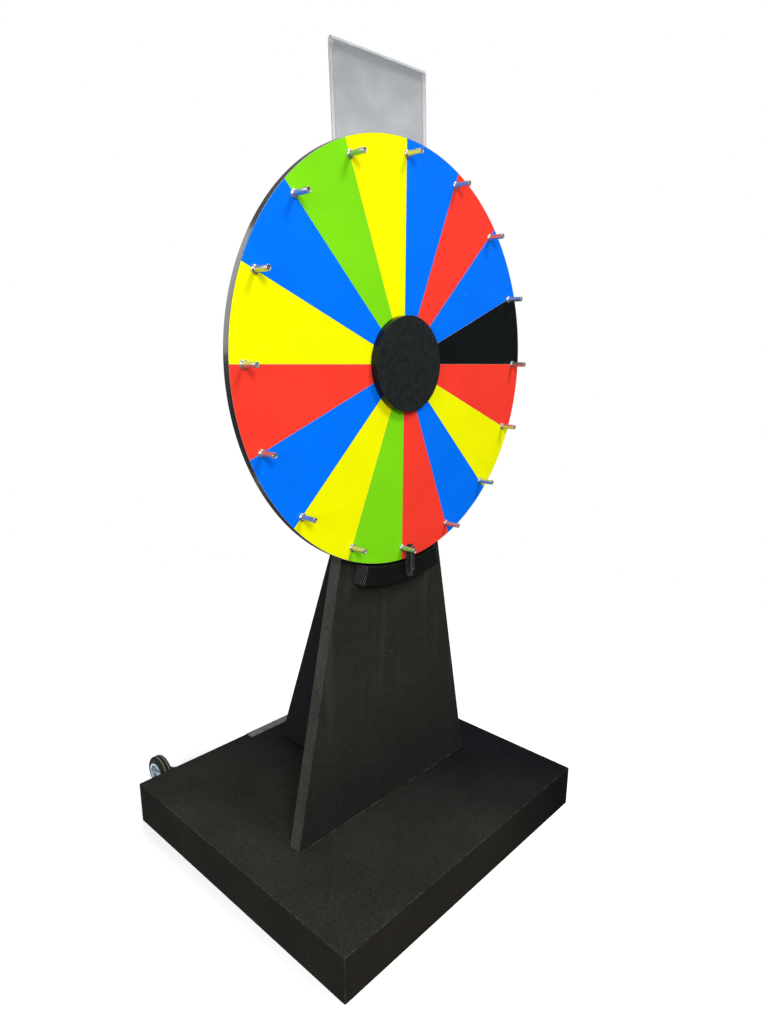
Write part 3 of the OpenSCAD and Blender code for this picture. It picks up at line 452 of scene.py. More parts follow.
def is_top(co):
    return co.z > base_high.z - EPS


def is_corner(co):
    return abs(abs(co.x) - base_high.x) < EPS and abs(abs(co.y) - base_high.y) < EPS


def is_outer(edge):
    """The edges round the top, and the four upright ones."""
    rise = abs(edge.verts[0].co.z - edge.verts[1].co.z)
    return both_ends(is_top)(edge) or both_ends(is_corner)(edge) and rise > EPS


pick("EDGE", is_outer)
round_over(BASE_ROUND, segments=4)
bpy.ops.object.mode_set(mode="OBJECT")
seat = add_block("strip_seat", strip_low, strip_high + Vector((0, wall, wall)))
cut(base, seat)
close_piece(base)
hand_over(base, "stand", "black_board", *BASE_NODES)

# %% [markdown]
# ## The panel and the rib
# The stand is a tapered panel with a rib behind it. Both start as blocks. The panel's upper
# corners are scaled together, and the rib's upper rear edge is pulled forward. The bearing's bore
# goes through the panel, cut by a cylinder that is long enough for any part.

# %% Model the panel
SAWN_ROUND = 0.0012
CUTTER_LENGTH = 1

panel_low, panel_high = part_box("front_panel")
panel_points = points_of("front_panel")
panel_top_x = max(co.x for co in panel_points if co.z > panel_high.z - EPS)
panel = add_block("stand_panel", panel_low, panel_high)
pick("FACE", lambda face: face.normal.z > FACING)
bpy.ops.transform.resize(value=(panel_top_x / panel_high.x, 1, 1))
pick("EDGE", lambda edge: True)
round_over(SAWN_ROUND, segments=2)
bpy.ops.object.mode_set(mode="OBJECT")
cut(panel, add_round("bore", "Y", HUB, nearest_to_axis(panel_points), CUTTER_LENGTH, sides=96))
close_piece(panel)
hand_over(panel, "stand", "black_board", "front_panel")

# %% Model the rib
rib_low, rib_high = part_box("rear_rib")
rib_top_y = max(co.y for co in points_of("rear_rib") if co.z > rib_high.z - EPS)
rib = add_block("stand_rib", rib_low, rib_high)
pick("EDGE", both_ends(lambda co: co.z > rib_high.z - EPS and co.y > rib_high.y - EPS))
bpy.ops.transform.translate(value=(0, rib_top_y - rib_high.y, 0))
pick("EDGE", lambda edge: True)
round_over(SAWN_ROUND, segments=2)
close_piece(rib)
hand_over(rib, "stand", "black_board", "rear_rib")

# %% [markdown]
# ## Black fibreboard
# The boards are dyed black right through and left bare: matt, with a fine fibre texture, clouds
# that lean to brown and to green, pale dust and lint, a few short scratches, and edges that
# handling has worn paler. The wear could follow a Bevel node, but that node isn't baked in an
# export. The distance to the edges is worked out from the coordinates instead: where a point is
# near two faces at once, it is near an edge.

# %% Fibreboard from coordinates
BOARD_DARK, BOARD_PALE = paint(17, 18, 16), paint(60, 61, 56)
BOARD_BROWN, BOARD_GREEN = paint(50, 44, 35), paint(38, 43, 38)
BOARD_WORN, LINT = paint(84, 84, 78), paint(150, 150, 142)
FIBRES, FIBRE_DEPTH = 620, 0.0004
WEAR_FULL, WEAR_NONE = 0.0006, 0.0032
LINT_CELLS, LINT_SIZE, LINT_MISSING = 34, 0.001, 0.35
SCRATCH_STRETCH, SCRATCH_SOFT = (14, 520, 60), 0.05


def nearest_edge(a, b, c):
    """The second smallest of three distances to faces."""
    low, high = a.sum("MINIMUM", a, b), a.sum("MAXIMUM", a, b)
    return low.sum("MAXIMUM", low, high.sum("MINIMUM", high, c))


def lint_mask(where):
    """Scattered small specks: balls round some of the centres of a Voronoi texture."""
    distance = where.node("ShaderNodeTexVoronoi", {}, {"Vector": where, "Scale": LINT_CELLS})
    chance = axes(distance.beside("Color"))[0]
    return (distance < chance * LINT_SIZE * LINT_CELLS) * (chance > LINT_MISSING)


def scratch_mask(where, angle, rarity):
    """Short thin lines in one direction."""
    turned = where.node("ShaderNodeMapping", {}, {
        "Vector": where, "Rotation": (0, 0, math.radians(angle)), "Scale": SCRATCH_STRETCH})
    return step(noise(turned, 1, 1), rarity, rarity + SCRATCH_SOFT)


def fibreboard(name, where_to_edge, grain, contrast, marks_and_light):
    """A board's finish. where_to_edge gives the distance to its nearest edge, grain the grains in
    a metre, contrast how strongly they show, and marks_and_light adds the board's own marks, its
    painted light and its painted shade."""
    material, shader, where = new_finish(name, Specular_IOR_Level=0.03)
    fibre = noise(where, FIBRES, 3)
    speckle = noise(where, grain)
    cloud = noise(where, 7, 4)
    mottle = step(fibre * 0.35 + speckle * 0.65 + cloud * 0.25 - 0.12, 0.3, 0.7)
    colour = mix((mottle - 0.5) * contrast + 0.5, BOARD_DARK, BOARD_PALE)
    colour = mix(step(noise(where, 24, 3), 0.52, 0.72) * 0.4, colour, BOARD_BROWN)
    colour = mix(step(noise(where, 15, 3), 0.5, 0.7) * 0.4, colour, BOARD_GREEN)
    colour = marks_and_light(where, colour)
    edge = where_to_edge(*axes(where))
    worn = (1 - step(edge, WEAR_FULL, WEAR_NONE)) * step(noise(where, 60, 3), 0.4, 0.7)
    colour = mix(worn * 0.6, colour, BOARD_WORN)
    marks = scratch_mask(where, 24, 0.7) * step(noise(where, 3.5), 0.55, 0.7)
    colour = mix(marks * 0.2, colour, BOARD_WORN)
    colour = mix(lint_mask(where) * 0.6, colour, LINT)
    feed(shader, Base_Color=colour, Roughness=fibre * 0.18 + cloud * 0.1 + 0.66,
         Normal=bump(fibre * 0.5 + speckle * 0.5, contrast * FIBRE_DEPTH))
    return material


print("fibreboard with", FIBRES, "fibres in a metre and lint up to", LINT_SIZE * 1000, "mm")

# %% [markdown]
# The base's edges lie where two faces of its box meet. Its front gets a painted tint of warm
# light, its right and rear a painted shade, and a thin pale line of dried glue runs along the
# panel's foot. The panel gets a painted olive tint of warm light and a painted shade towards its
# foot, and has faint upright streaks where hands and cloths have passed. The rib gets a painted
# cool tint of shade.

# %% Finish the base, the panel and the rib
FRONT_START, FRONT_END = 0.002, 0.006
GLUE_LINE = 0.003
STREAKS = (24, 1, 2.4)
PAINTED_WARM_LIGHT, PAINTED_OLIVE_LIGHT, PAINTED_SHADE = paint(43, 39, 31), paint(42, 43, 34), paint(22, 23, 26)
PAINTED_COOL_LIGHT, PALE_STREAK = paint(37, 39, 45), paint(62, 63, 56)
panel_slope = (panel_high.x - panel_top_x) / (panel_high.z - panel_low.z)
rib_slope = (rib_high.y - rib_top_y) / (rib_high.z - rib_low.z)


def base_edge(x, y, z):
    return nearest_edge(base_high.x - abs(x), base_high.y - abs(y), base_high.z - z)


def panel_edge(x, y, z):
    side = (panel_high.x - (z - panel_low.z) * panel_slope) - abs(x)
    middle = (panel_low.y + panel_high.y) / 2
    return nearest_edge(side, panel_high.y - middle - abs(y - middle), panel_high.z - z)


def rib_edge(x, y, z):
    slope = (rib_high.y - (z - rib_low.z) * rib_slope) - y
    return nearest_edge(rib_high.x - abs(x), slope, rib_high.z - z)


def base_marks_and_light(where, colour):
    x, y = axes(where)[:2]
    front = 1 - step(y - base_low.y, FRONT_START, FRONT_END)
    # Painted warm light: the front face is tinted as if lit by warm lamps in front.
    colour = mix(front * 0.7, colour, PAINTED_WARM_LIGHT)
    # Painted shade: the right and rear of the base darken, as if shaded by the panel and the
    # wheel.
    colour = mix(step(x * 0.8 + y * 0.35, -0.16, 0.25), colour, PAINTED_SHADE)
    at_foot = 1 - step(abs(panel_low.y - y), GLUE_LINE * 0.5, GLUE_LINE)
    glue = at_foot * (abs(x) < panel_high.x) * step(noise(where, 45, 3), 0.4, 0.6)
    return mix(glue * 0.6, colour, BOARD_WORN)


def panel_marks_and_light(where, colour):
    height = axes(where)[2]
    streak = step(noise(stretch(where, *STREAKS), 1, 3), 0.5, 0.72) * step(height, 0.3, 0.55)
    # Painted warm light: an olive tint, laid in clouds over the panel.
    colour = mix(noise(where, 5) * 0.5, colour, PAINTED_OLIVE_LIGHT)
    # Painted shade: the panel darkens towards its foot.
    colour = mix((1 - step(height, 0.15, 0.5)) * 0.4, colour, PAINTED_SHADE)
    return mix(streak * 0.45, colour, PALE_STREAK)


def rib_painted_light(where, colour):
    # Painted shade: a cool bluish tint, as on a board in shadow.
    return mix(noise(where, 4) * 0.4 + 0.4, colour, PAINTED_COOL_LIGHT)


for piece, finish in (
    (base, fibreboard("base_board", base_edge, grain=400, contrast=0.7, marks_and_light=base_marks_and_light)),
    (panel, fibreboard("panel_board", panel_edge, grain=270, contrast=0.55, marks_and_light=panel_marks_and_light)),
    (rib, fibreboard("rib_board", rib_edge, grain=300, contrast=0.6, marks_and_light=rib_painted_light)),
):
    piece.data.materials.append(finish)
    print(piece.name, "in", finish.name)

# %% [markdown]
# The panel's sides and the rib's sloping back are sawn, and sawn fibreboard is paler and rougher
# than its pressed faces. A second material goes on those faces, picked by their direction.

# %% Finish the sawn sides
SAWN_DARK, SAWN_PALE = paint(42, 42, 38), paint(84, 84, 79)
SAW_MARKS = (20, 20, 260)

sawn_board, shader, where = new_finish("sawn_board", Specular_IOR_Level=0.08)
fuzz = noise(where, 330, 3)
saw_marks = noise(stretch(where, *SAW_MARKS), 1)
shade = fuzz * 0.6 + saw_marks * 0.15 + noise(where, 9, 3) * 0.35
feed(shader, Base_Color=mix(step(shade, 0.3, 0.8), SAWN_DARK, SAWN_PALE),
     Roughness=fuzz * 0.12 + 0.8, Normal=bump(fuzz * 0.8 + saw_marks * 0.2, FIBRE_DEPTH))


def second_finish(piece, finish, test):
    """Give the faces that pass a test the piece's second material."""
    bpy.ops.object.select_all(action="DESELECT")
    bpy.context.view_layer.objects.active = piece
    piece.select_set(True)
    piece.data.materials.append(finish)
    bpy.ops.object.mode_set(mode="EDIT")
    pick("FACE", test)
    piece.active_material_index = len(piece.data.materials) - 1
    bpy.ops.object.material_slot_assign()
    bpy.ops.object.mode_set(mode="OBJECT")


second_finish(panel, sawn_board,
              lambda face: abs(face.normal.x) > FACING or face.normal.z > FACING)
second_finish(rib, sawn_board, lambda face: face.normal.y > LEANING or face.normal.z > FACING)
print("sawn faces on", panel.name, "and", rib.name)

# %% [markdown]
# ## The pointer block
# A curved block follows the wheel's rim and carries the flapper. It is a rectangle swept round
# the wheel's axis: a plane stood upright under the hub, turned to the block's left end and spun
# to its right end. The sweep can come out inside out, so its normals are recalculated. A Bevel
# modifier then rounds every sharp edge.

# %% Model the pointer block
BLOCK_ROUND, BLOCK_STEPS = 0.0028, 64
SIDEWAYS = (0, math.pi / 2, 0)


def add_plane(name, centre, turned, width, height):
    bpy.ops.object.select_all(action="DESELECT")
    bpy.ops.mesh.primitive_plane_add(size=1, location=centre, rotation=turned)
    bpy.context.object.scale = (width, height, 1)
    return open_piece(name)


def mend():
    """Merge doubled corners and turn every face outwards."""
    bpy.ops.mesh.select_all(action="SELECT")
    bpy.ops.mesh.remove_doubles(threshold=EPS)
    bpy.ops.mesh.normals_make_consistent(inside=False)


def compare(piece):
    """Work out the lowest and highest corner of a piece."""
    places = [corner.co for corner in piece.data.vertices]
    low, high = ([end(co[k] for co in places) for k in range(3)] for end in (min, max))


def soften(piece, width, segments):
    """Round every sharp edge of a piece with a Bevel modifier."""
    modify(piece, "BEVEL", width=width, segments=segments, limit_method="ANGLE",
           angle_limit=SMOOTH_ANGLE)


block_low, block_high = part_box("pointer_block")
block_points = points_of("pointer_block")
inner_r, outer_r = nearest_to_axis(block_points), HUB.z - block_low.z
block_angle = 2 * max(math.atan2(co.x, HUB.z - co.z) for co in block_points)
block_middle = Vector((0, (block_low.y + block_high.y) / 2, HUB.z - (inner_r + outer_r) / 2))
block = add_plane("twill_block", block_middle, SIDEWAYS,
                  outer_r - inner_r, block_high.y - block_low.y)
bpy.ops.mesh.select_all(action="SELECT")
bpy.ops.transform.rotate(value=block_angle / 2, orient_axis="Y", center_override=HUB)
bpy.ops.mesh.spin(steps=BLOCK_STEPS, angle=block_angle, center=HUB, axis=(0, -1, 0))
mend()
bpy.ops.object.mode_set(mode="OBJECT")
compare(block)
soften(block, BLOCK_ROUND, segments=4)
close_piece(block)
hand_over(block, "stand", "twill_block", "pointer_block")

# %% [markdown]
# ## Twill foil
# The block is covered with a foil in a two-by-two twill: bundles of black threads, each passing
# over two and under two, one step further in every row, so that fine diagonal ribs appear. The
# block is curved, so the weave is laid along the arc and the radius. Whole numbers count the
# bundles, and the remainder of their difference by four says whether the upright or the level
# bundle lies on top. The upright bundles on top get a paler colour, a painted sheen. On the
# block's ends the ribs are only one bundle wide, with a brighter painted highlight.

# %% Weave the twill
TOW, TWILL_DEPTH = 0.002, 0.0003
REPEAT, OVER = 4, 2
END_START, END_FULL = 0.001, 0.0004
THREAD, PAINTED_SHEEN, PAINTED_END_GLINT = paint(3, 3, 4), paint(27, 30, 29), paint(110, 112, 116)
half_arc = outer_r * block_angle / 2

material, shader, where = new_finish("twill_foil", Specular_IOR_Level=0.14)
x, y, z = axes(where)
drop = HUB.z - z
radius = x.sum("SQRT", x * x + drop * drop)
sweep = x.sum("ARCTAN2", x, drop) * outer_r
arc = sweep - y
column, row = math.floor(arc / TOW), math.floor(radius / TOW)
at_end = step(abs(sweep), half_arc - END_START, half_arc - END_FULL)
upright_over = ((column - row) % REPEAT) < (OVER - at_end)
across = abs((arc / TOW) % 1 - 0.5) * 2
along = abs((radius / TOW) % 1 - 0.5) * 2
crown = 1 - (upright_over * across * across + (1 - upright_over) * along * along)
thread = noise(where, 1800, 1)
# Painted highlight: bundles on top are paler on the front and much paler on the block's ends.
painted_glint = mix(at_end, PAINTED_SHEEN, PAINTED_END_GLINT)
feed(shader, Base_Color=mix(upright_over * (thread * 0.3 + 0.7), THREAD, painted_glint),
     Roughness=0.5 - upright_over * 0.25 + thread * 0.08, Normal=bump(crown, TWILL_DEPTH))
block.data.materials.append(material)
print("twill bundles", TOW * 1000, "mm wide")

# %% [markdown]
# ## The flapper
# The flapper is a flat rubber tongue with round ends that clicks from peg to peg. A short
# cylinder becomes such a tongue when its upper half is moved up. Its rims are rounded, two
# grooves are cut along each face, and a hole is cut for its pin.

# %% Model the flapper
RUBBER_ROUND = 0.0012

flap_low, flap_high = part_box("flapper")
flap_radius = (flap_high.y - flap_low.y) / 2
flap_middle = (flap_low + flap_high) / 2
flap_foot = Vector((flap_middle.x, flap_middle.y, flap_low.z + flap_radius))
flap_rise = flap_high.z - flap_low.z - 2 * flap_radius
flapper = add_round("rubber_flapper", "X", flap_foot, flap_radius, flap_high.x - flap_low.x,
                    sides=64)
pick("VERT", lambda corner: corner.co.z > flap_foot.z + EPS)
bpy.ops.transform.translate(value=(0, 0, flap_rise))
pick("EDGE", both_ends(lambda co: co.x < flap_low.x + EPS))
round_over(RUBBER_ROUND)
pick("EDGE", both_ends(lambda co: co.x > flap_high.x - EPS))
round_over(RUBBER_ROUND)
bpy.ops.object.mode_set(mode="OBJECT")
print("flapper", tell(flap_high - flap_low), "m")

# %% Cut its grooves and its pin hole
GROOVES_IN_RADIUS = 5
GROOVE_ROW = 1.6  # from the flapper's middle, in widths of a groove
PIN_PLAY = 0.0002

groove = flap_radius / GROOVES_IN_RADIUS
pin_low, pin_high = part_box("flapper_pin")
pin_place = (pin_low + pin_high) / 2
half = Vector((groove / 2, groove / 2, flap_rise / 2))
for side in (flap_low.x, flap_high.x):
    for row in (-GROOVE_ROW, GROOVE_ROW):
        place = Vector((side, flap_middle.y + row * groove, flap_middle.z))
        cut(flapper, add_block("groove", place - half, place + half))
shank = [co for co in points_of("flapper_pin") if co.y > flap_high.y]
pin_radius = min(math.hypot(co.x - pin_place.x, co.z - pin_place.z) for co in shank) + PIN_PLAY
cut(flapper, add_round("pin_hole", "Y", pin_place, pin_radius, CUTTER_LENGTH, sides=32))
close_piece(flapper)
hand_over(flapper, "flapper", "flapper_rubber", "flapper")

# %% [markdown]
# ## Rubber
# Rubber is never quite black: it greys where it is handled and holds dust in its pores. Flapper
# and tyres share one recipe. The flapper gets a painted highlight, a paler band in front of its
# grooves, where the pegs pass, and a paler tip, and its grooves a painted shade. The tyres will
# add two tan rings on the tread.

# %% Mix the rubber
RUBBER_BLACK, PAINTED_RUBBER_HIGHLIGHT, PAINTED_GROOVE_SHADE = paint(14, 14, 14), paint(86, 88, 87), paint(8, 8, 8)
FLAPPER_DUST = paint(84, 85, 84)
PORE_DEPTH = 0.0002
TAIL_FULL, TAIL_NONE = 0.003, 0.012


def rubber(name, pale, tint):
    """Pale is the colour of its dust, and tint adds what one piece alone has."""
    material, shader, where = new_finish(name, Specular_IOR_Level=0.3)
    pores = noise(where, 700)
    dust = step(noise(where, 55, 4), 0.45, 0.75)
    colour = tint(where, mix(dust * 0.5 + pores * 0.3, RUBBER_BLACK, pale))
    feed(shader, Base_Color=colour, Roughness=dust * 0.2 + pores * 0.1 + 0.45,
         Normal=bump(pores, PORE_DEPTH))
    return material


def painted_flapper_light(where, colour):
    """Places across the flapper are counted forward from its middle, in widths of a groove."""
    y, z = axes(where)[1:]
    forward = (flap_middle.y - y) / groove
    # Painted shade: the grooves are darker.
    in_groove = 1 - step(abs(abs(forward) - GROOVE_ROW), 0.4, 0.6)
    colour = mix(in_groove * 0.7, colour, PAINTED_GROOVE_SHADE)
    # Painted highlight: a paler band in front of the grooves, and a paler tip.
    front_band = step(forward, 2.0, 2.8) * (1 - step(forward, 3.8, 4.8))
    tail = (1 - step(z - flap_low.z, TAIL_FULL, TAIL_NONE)) * 0.4
    return mix(front_band.sum("MAXIMUM", front_band, tail) * 0.7, colour, PAINTED_RUBBER_HIGHLIGHT)


flapper.data.materials.append(rubber("flapper_black", FLAPPER_DUST, painted_flapper_light))
print("rubber on", flapper.name)

# %% [markdown]
# ## The casters' tyres
# Each caster has a solid tyre on a pressed core. The tyre is a profile spun round the axle: a
# plane above the axle, as wide as the tyre and as high as its wall, with its two outer corners
# bevelled round. Only its outline is spun, so its face is deleted first, and the seam where the
# spin closes is merged.

# %% Model the tyres
SHOULDER, TYRE_STEPS = 0.008, 96
STANDING = (math.pi / 2, 0, 0)

tyres = []
for side in ("left", "right"):
    node = side + "_caster_tyre"
    tyre_low, tyre_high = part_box(node)
    axle = (tyre_low + tyre_high) / 2
    wall_foot = axle.z + min(math.hypot(co.y - axle.y, co.z - axle.z) for co in points_of(node))
    tyre = add_plane(side + "_tyre", (axle.x, axle.y, (wall_foot + tyre_high.z) / 2), STANDING,
                     tyre_high.x - tyre_low.x, tyre_high.z - wall_foot)
    pick("VERT", lambda corner: corner.co.z > tyre_high.z - EPS)
    bpy.ops.mesh.bevel(offset=SHOULDER, segments=6, affect="VERTICES")
    bpy.ops.mesh.select_all(action="SELECT")
    bpy.ops.mesh.delete(type="ONLY_FACE")
    bpy.ops.mesh.select_all(action="SELECT")
    bpy.ops.mesh.spin(steps=TYRE_STEPS, angle=math.tau, center=axle, axis=(1, 0, 0))
    mend()
    close_piece(tyre)
    hand_over(tyre, side + "_caster_wheel", "tyre_rubber", node)
    tyres.append(tyre)

# %% [markdown]
# The two tan rings lie on either side of each tyre's middle. The casters are mirror images, so
# one distance from the stand's middle serves both tyres.

# %% Finish the tyres
RING_OFFSET, RING_HALF, RING_END = 0.006, 0.0014, 0.00196
RING_TAN, TYRE_DUST = paint(146, 136, 98), paint(34, 36, 38)
tread_x = abs(axle.x)


def tan_rings(where, colour):
    x = axes(where)[0]
    off_ring = abs(abs(abs(x) - tread_x) - RING_OFFSET)
    worn = noise(where, 90) * 0.5 + 0.5
    return mix((1 - step(off_ring, RING_HALF, RING_END)) * worn, colour, RING_TAN)


tyre_black = rubber("tyre_black", TYRE_DUST, tan_rings)
for tyre in tyres:
    tyre.data.materials.append(tyre_black)
print("tyres", [tyre.name for tyre in tyres])

# %% [markdown]
# ## The wheel's disc
# The wheel is one round board. Its front is pale, and shows as a hairline between the coloured
# sheets. Its rim is glossy black. A cylinder with 360 sides is round enough for the largest
# circle in the picture, and its two rims are only just broken. For the spindle's hole, both faces
# are inset, their middles are deleted and the two open loops are bridged.

# %% Model the disc
DISC_ROUND = 0.0006


def open_middle(ring):
    """Make a hole along Y through a cylinder, with a ring of this width left round it."""
    pick("FACE", lambda face: abs(face.normal.y) > SQUARE_ON)
    bpy.ops.mesh.inset(thickness=ring, use_individual=True)
    bpy.ops.mesh.delete(type="FACE")
    pick("EDGE", lambda edge: edge.is_boundary)
    bpy.ops.mesh.bridge_edge_loops()


disc_low, disc_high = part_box("wheel_disc")
disc_middle = (disc_low + disc_high) / 2
disc_radius = (disc_high.x - disc_low.x) / 2
disc = add_round("wheel_board", "Y", disc_middle, disc_radius, disc_high.y - disc_low.y,
                 sides=360)
pick("EDGE", lambda edge: abs(edge.verts[0].co.y - edge.verts[1].co.y) < EPS)
round_over(DISC_ROUND, segments=2)
open_middle(disc_radius - DISC_ROUND - nearest_to_axis(points_of("wheel_disc")))
close_piece(disc)
hand_over(disc, "wheel", "rim_black", "wheel_disc")

# %% Finish the disc
RIM_DARK, RIM_PALE = paint(20, 22, 23), paint(46, 50, 52)
FRONT_DARK, FRONT_PALE = paint(176, 178, 172), paint(222, 222, 214)
SMEARS = (8, 60, 8)

material, shader, where = new_finish("glossy_rim", Specular_IOR_Level=0.5, Coat_Roughness=0.1)
smear = noise(stretch(where, *SMEARS), 1, 3)
feed(shader, Base_Color=mix(smear, RIM_DARK, RIM_PALE), Roughness=smear * 0.15 + 0.16,
     Coat_Weight=smear * 0.3 + 0.2)
disc.data.materials.append(material)

material, shader, where = new_finish("pale_front", Specular_IOR_Level=0.3)
grain = noise(where, 260, 3)
feed(shader, Base_Color=mix(grain, FRONT_DARK, FRONT_PALE), Roughness=grain * 0.2 + 0.5)
second_finish(disc, material, lambda face: face.normal.y < -SQUARE_ON)
print("disc finished with", len(disc.data.materials), "materials")

# %% [markdown]
# ## The hub cover
# A round cap hides the hub. Its face is matt and slightly mottled, and its wall is smoother, so
# that the sheets' colours mirror in it. The cap is a cylinder with a rounded front edge, hollowed
# from behind by inset and extrude.

# %% Model the hub cover
COVER_ROUND, COVER_FACE = 0.0016, 0.005
COVER_INNER = 0.095

cover_radius = (hub_high.x - hub_low.x) / 2
cover = add_round("turned_cover", "Y", HUB, cover_radius, hub_high.y - hub_low.y, sides=192)
pick("EDGE", both_ends(lambda co: co.y < hub_low.y + EPS))
round_over(COVER_ROUND, segments=4)
pick("FACE", lambda face: face.normal.y > FACING)
bpy.ops.mesh.inset(thickness=cover_radius - COVER_INNER)
push(y=hub_low.y + COVER_FACE - hub_high.y)
close_piece(cover)
hand_over(cover, "wheel", "cover_black", "hub_cover")

# %% Finish the hub cover
COVER_DARK, COVER_PALE = paint(14, 18, 19), paint(36, 40, 41)
COVER_SCUFF, COVER_WALL = paint(84, 88, 88), paint(16, 17, 18)
COVER_DEPTH = 0.00015

material, shader, where = new_finish("cover_black", Specular_IOR_Level=0.16)
behind_face = axes(where)[1] - hub_low.y
wall_mask = step(behind_face, COVER_ROUND * 0.6, COVER_ROUND * 1.2)
mottle = noise(where, 60, 4)
pores = noise(where, 260, 3)
scuffs = scratch_mask(where, 60, 0.72) * step(noise(where, 9), 0.5, 0.65)
colour = mix(step(mottle * 0.5 + pores * 0.5, 0.25, 0.75), COVER_DARK, COVER_PALE)
colour = mix(scuffs * 0.3, colour, COVER_SCUFF)
feed(shader, Base_Color=mix(wall_mask * 0.6, colour, COVER_WALL),
     Roughness=(1 - wall_mask) * (mottle * 0.15 + 0.45) + 0.1,
     Normal=bump(pores * (1 - wall_mask), COVER_DEPTH))
cover.data.materials.append(material)
print("cover", round(2000 * cover_radius), "mm across")

# %% [markdown]
# ## The pegs
# Sixteen chrome pegs stand round the wheel, each a tube over a stud, with a bevelled collar at
# its foot. One tube and one collar are modelled at the top of the wheel. Spin with its duplicate
# option then copies each round the wheel's axis. Solidify turns the open tube into one with a
# wall, and a Bevel rounds its tip.

# %% Model the pegs
PEGS, PEG_REACH = 16, 0.02
PEG_TIP = 0.0007


def copy_round(piece):
    """Copy a mesh round the wheel's axis, once for each peg."""
    bpy.ops.object.mode_set(mode="EDIT")
    bpy.ops.mesh.select_all(action="SELECT")
    bpy.ops.mesh.spin(steps=PEGS - 1, dupli=True, angle=math.tau * (PEGS - 1) / PEGS,
                      center=HUB, axis=(0, 1, 0))
    close_piece(piece)


def ring_sizes(node):
    """Outer and inner radius of the ring at the top of the wheel, its middle and its length."""
    ring = [co for co in points_of(node) if abs(co.x) < PEG_REACH and co.z > HUB.z]
    top = max(co.z for co in ring)
    middle = (top + min(co.z for co in ring)) / 2
    inner = min(math.hypot(co.x, co.z - middle) for co in ring)
    low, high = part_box(node)
    return top - middle, inner, Vector((0, (low.y + high.y) / 2, middle)), high.y - low.y


outer, inner, middle, length = ring_sizes("peg_sleeves")
pegs = add_round("chrome_pegs", "Y", middle, outer, length, sides=40, ends="NOTHING")
bpy.ops.object.mode_set(mode="OBJECT")
modify(pegs, "SOLIDIFY", thickness=outer - inner, offset=-1)
soften(pegs, PEG_TIP, segments=3)
copy_round(pegs)
hand_over(pegs, "wheel", "chrome", "peg_sleeves")

# %% Model the collars
COLLAR_BEVEL = 0.0025

outer, inner, middle, length = ring_sizes("peg_collars")
collars = add_round("peg_rings", "Y", middle, outer, length, sides=48)
open_middle(outer - inner)
pick("EDGE", both_ends(lambda co: co.y < middle.y - length / 2 + EPS
                       and math.hypot(co.x, co.z - middle.z) > outer - EPS))
round_over(COLLAR_BEVEL)
bpy.ops.object.mode_set(mode="OBJECT")
copy_round(collars)
hand_over(collars, "wheel", "chrome", "peg_collars")

# %% [markdown]
# ## Metals
# All metals share one recipe: a metallic shader with a tint, cloudy roughness from handling and,
# where the metal was turned or rolled, fine lines along one direction. Chrome gets hardly any of
# this, zinc a bluish bloom.

# %% Mix the metals
EVEN, LINES_X, LINES_Y, LINES_Z = (1, 1, 1), (0.05, 2, 2), (1, 0.1, 1), (4, 1, 0.05)
METAL_DEPTH = 0.00003
METALS = {  # dark and bright colour, smoothest and roughest place, stretch of the lines, shine
    "polished_chrome": ((190, 191, 190), (220, 221, 219), 0.2, 0.3, EVEN, 0.85),
    "satin_chrome": ((186, 186, 180), (216, 216, 210), 0.22, 0.36, LINES_Y, 0.8),
    "zinc_plate": ((132, 148, 164), (190, 206, 220), 0.24, 0.42, EVEN, 0.65),
    "bluish_zinc": ((166, 190, 208), (218, 234, 244), 0.14, 0.26, EVEN, 0.6),
    "turned_steel": ((150, 152, 154), (196, 198, 200), 0.25, 0.45, LINES_Y, 0.75),
    "blackened_steel": ((30, 30, 32), (52, 52, 55), 0.4, 0.6, EVEN, 1.0),
    "drawn_aluminium": ((150, 152, 154), (186, 188, 190), 0.3, 0.5, LINES_Z, 1.0),
    "weathered_bar": ((104, 100, 96), (146, 141, 136), 0.5, 0.75, LINES_X, 0.6),
    "brass": ((168, 132, 60), (208, 172, 92), 0.25, 0.45, EVEN, 1.0),
}


def metal(name, dark, bright, smooth, rough, lines, shine):
    material, shader, where = new_finish(name, Metallic=shine)
    bloom = noise(where, 38, 4)
    fine = noise(stretch(where, *lines), 420)
    shade = step(bloom * 0.6 + fine * 0.4, 0.3, 0.7)
    feed(shader, Base_Color=mix(shade, paint(*dark), paint(*bright)),
         Roughness=step(bloom * 0.5 + fine * 0.5, 0.3, 0.7) * (rough - smooth) + smooth,
         Normal=bump(fine, METAL_DEPTH))
    return material


metals = {name: metal(name, *settings) for name, settings in METALS.items()}
pegs.data.materials.append(metals["satin_chrome"])
collars.data.materials.append(metals["polished_chrome"])
print("metals", list(metals))

# %% [markdown]
# ## The sheets
# The sixteen sectors are cut from satin sheet in five colours. Their shape is right in the packed
# model, so they only get a finish. It is nearly flat, with a faint grain, cloudy gloss and light
# scuffs, as on a sheet that is wiped often.

# %% Colour the sheets
SHEETS = {
    "blue_sectors": (0, 118, 255),
    "red_sectors": (255, 64, 48),
    "yellow_sectors": (250, 252, 0),
    "green_sectors": (128, 224, 22),
    "black_sector": (17, 21, 22),
}
DEEPER, SHEET_DEPTH = 0.93, 0.00003
SHEET_SCUFF = (0.8, 0.8, 0.8, 1)


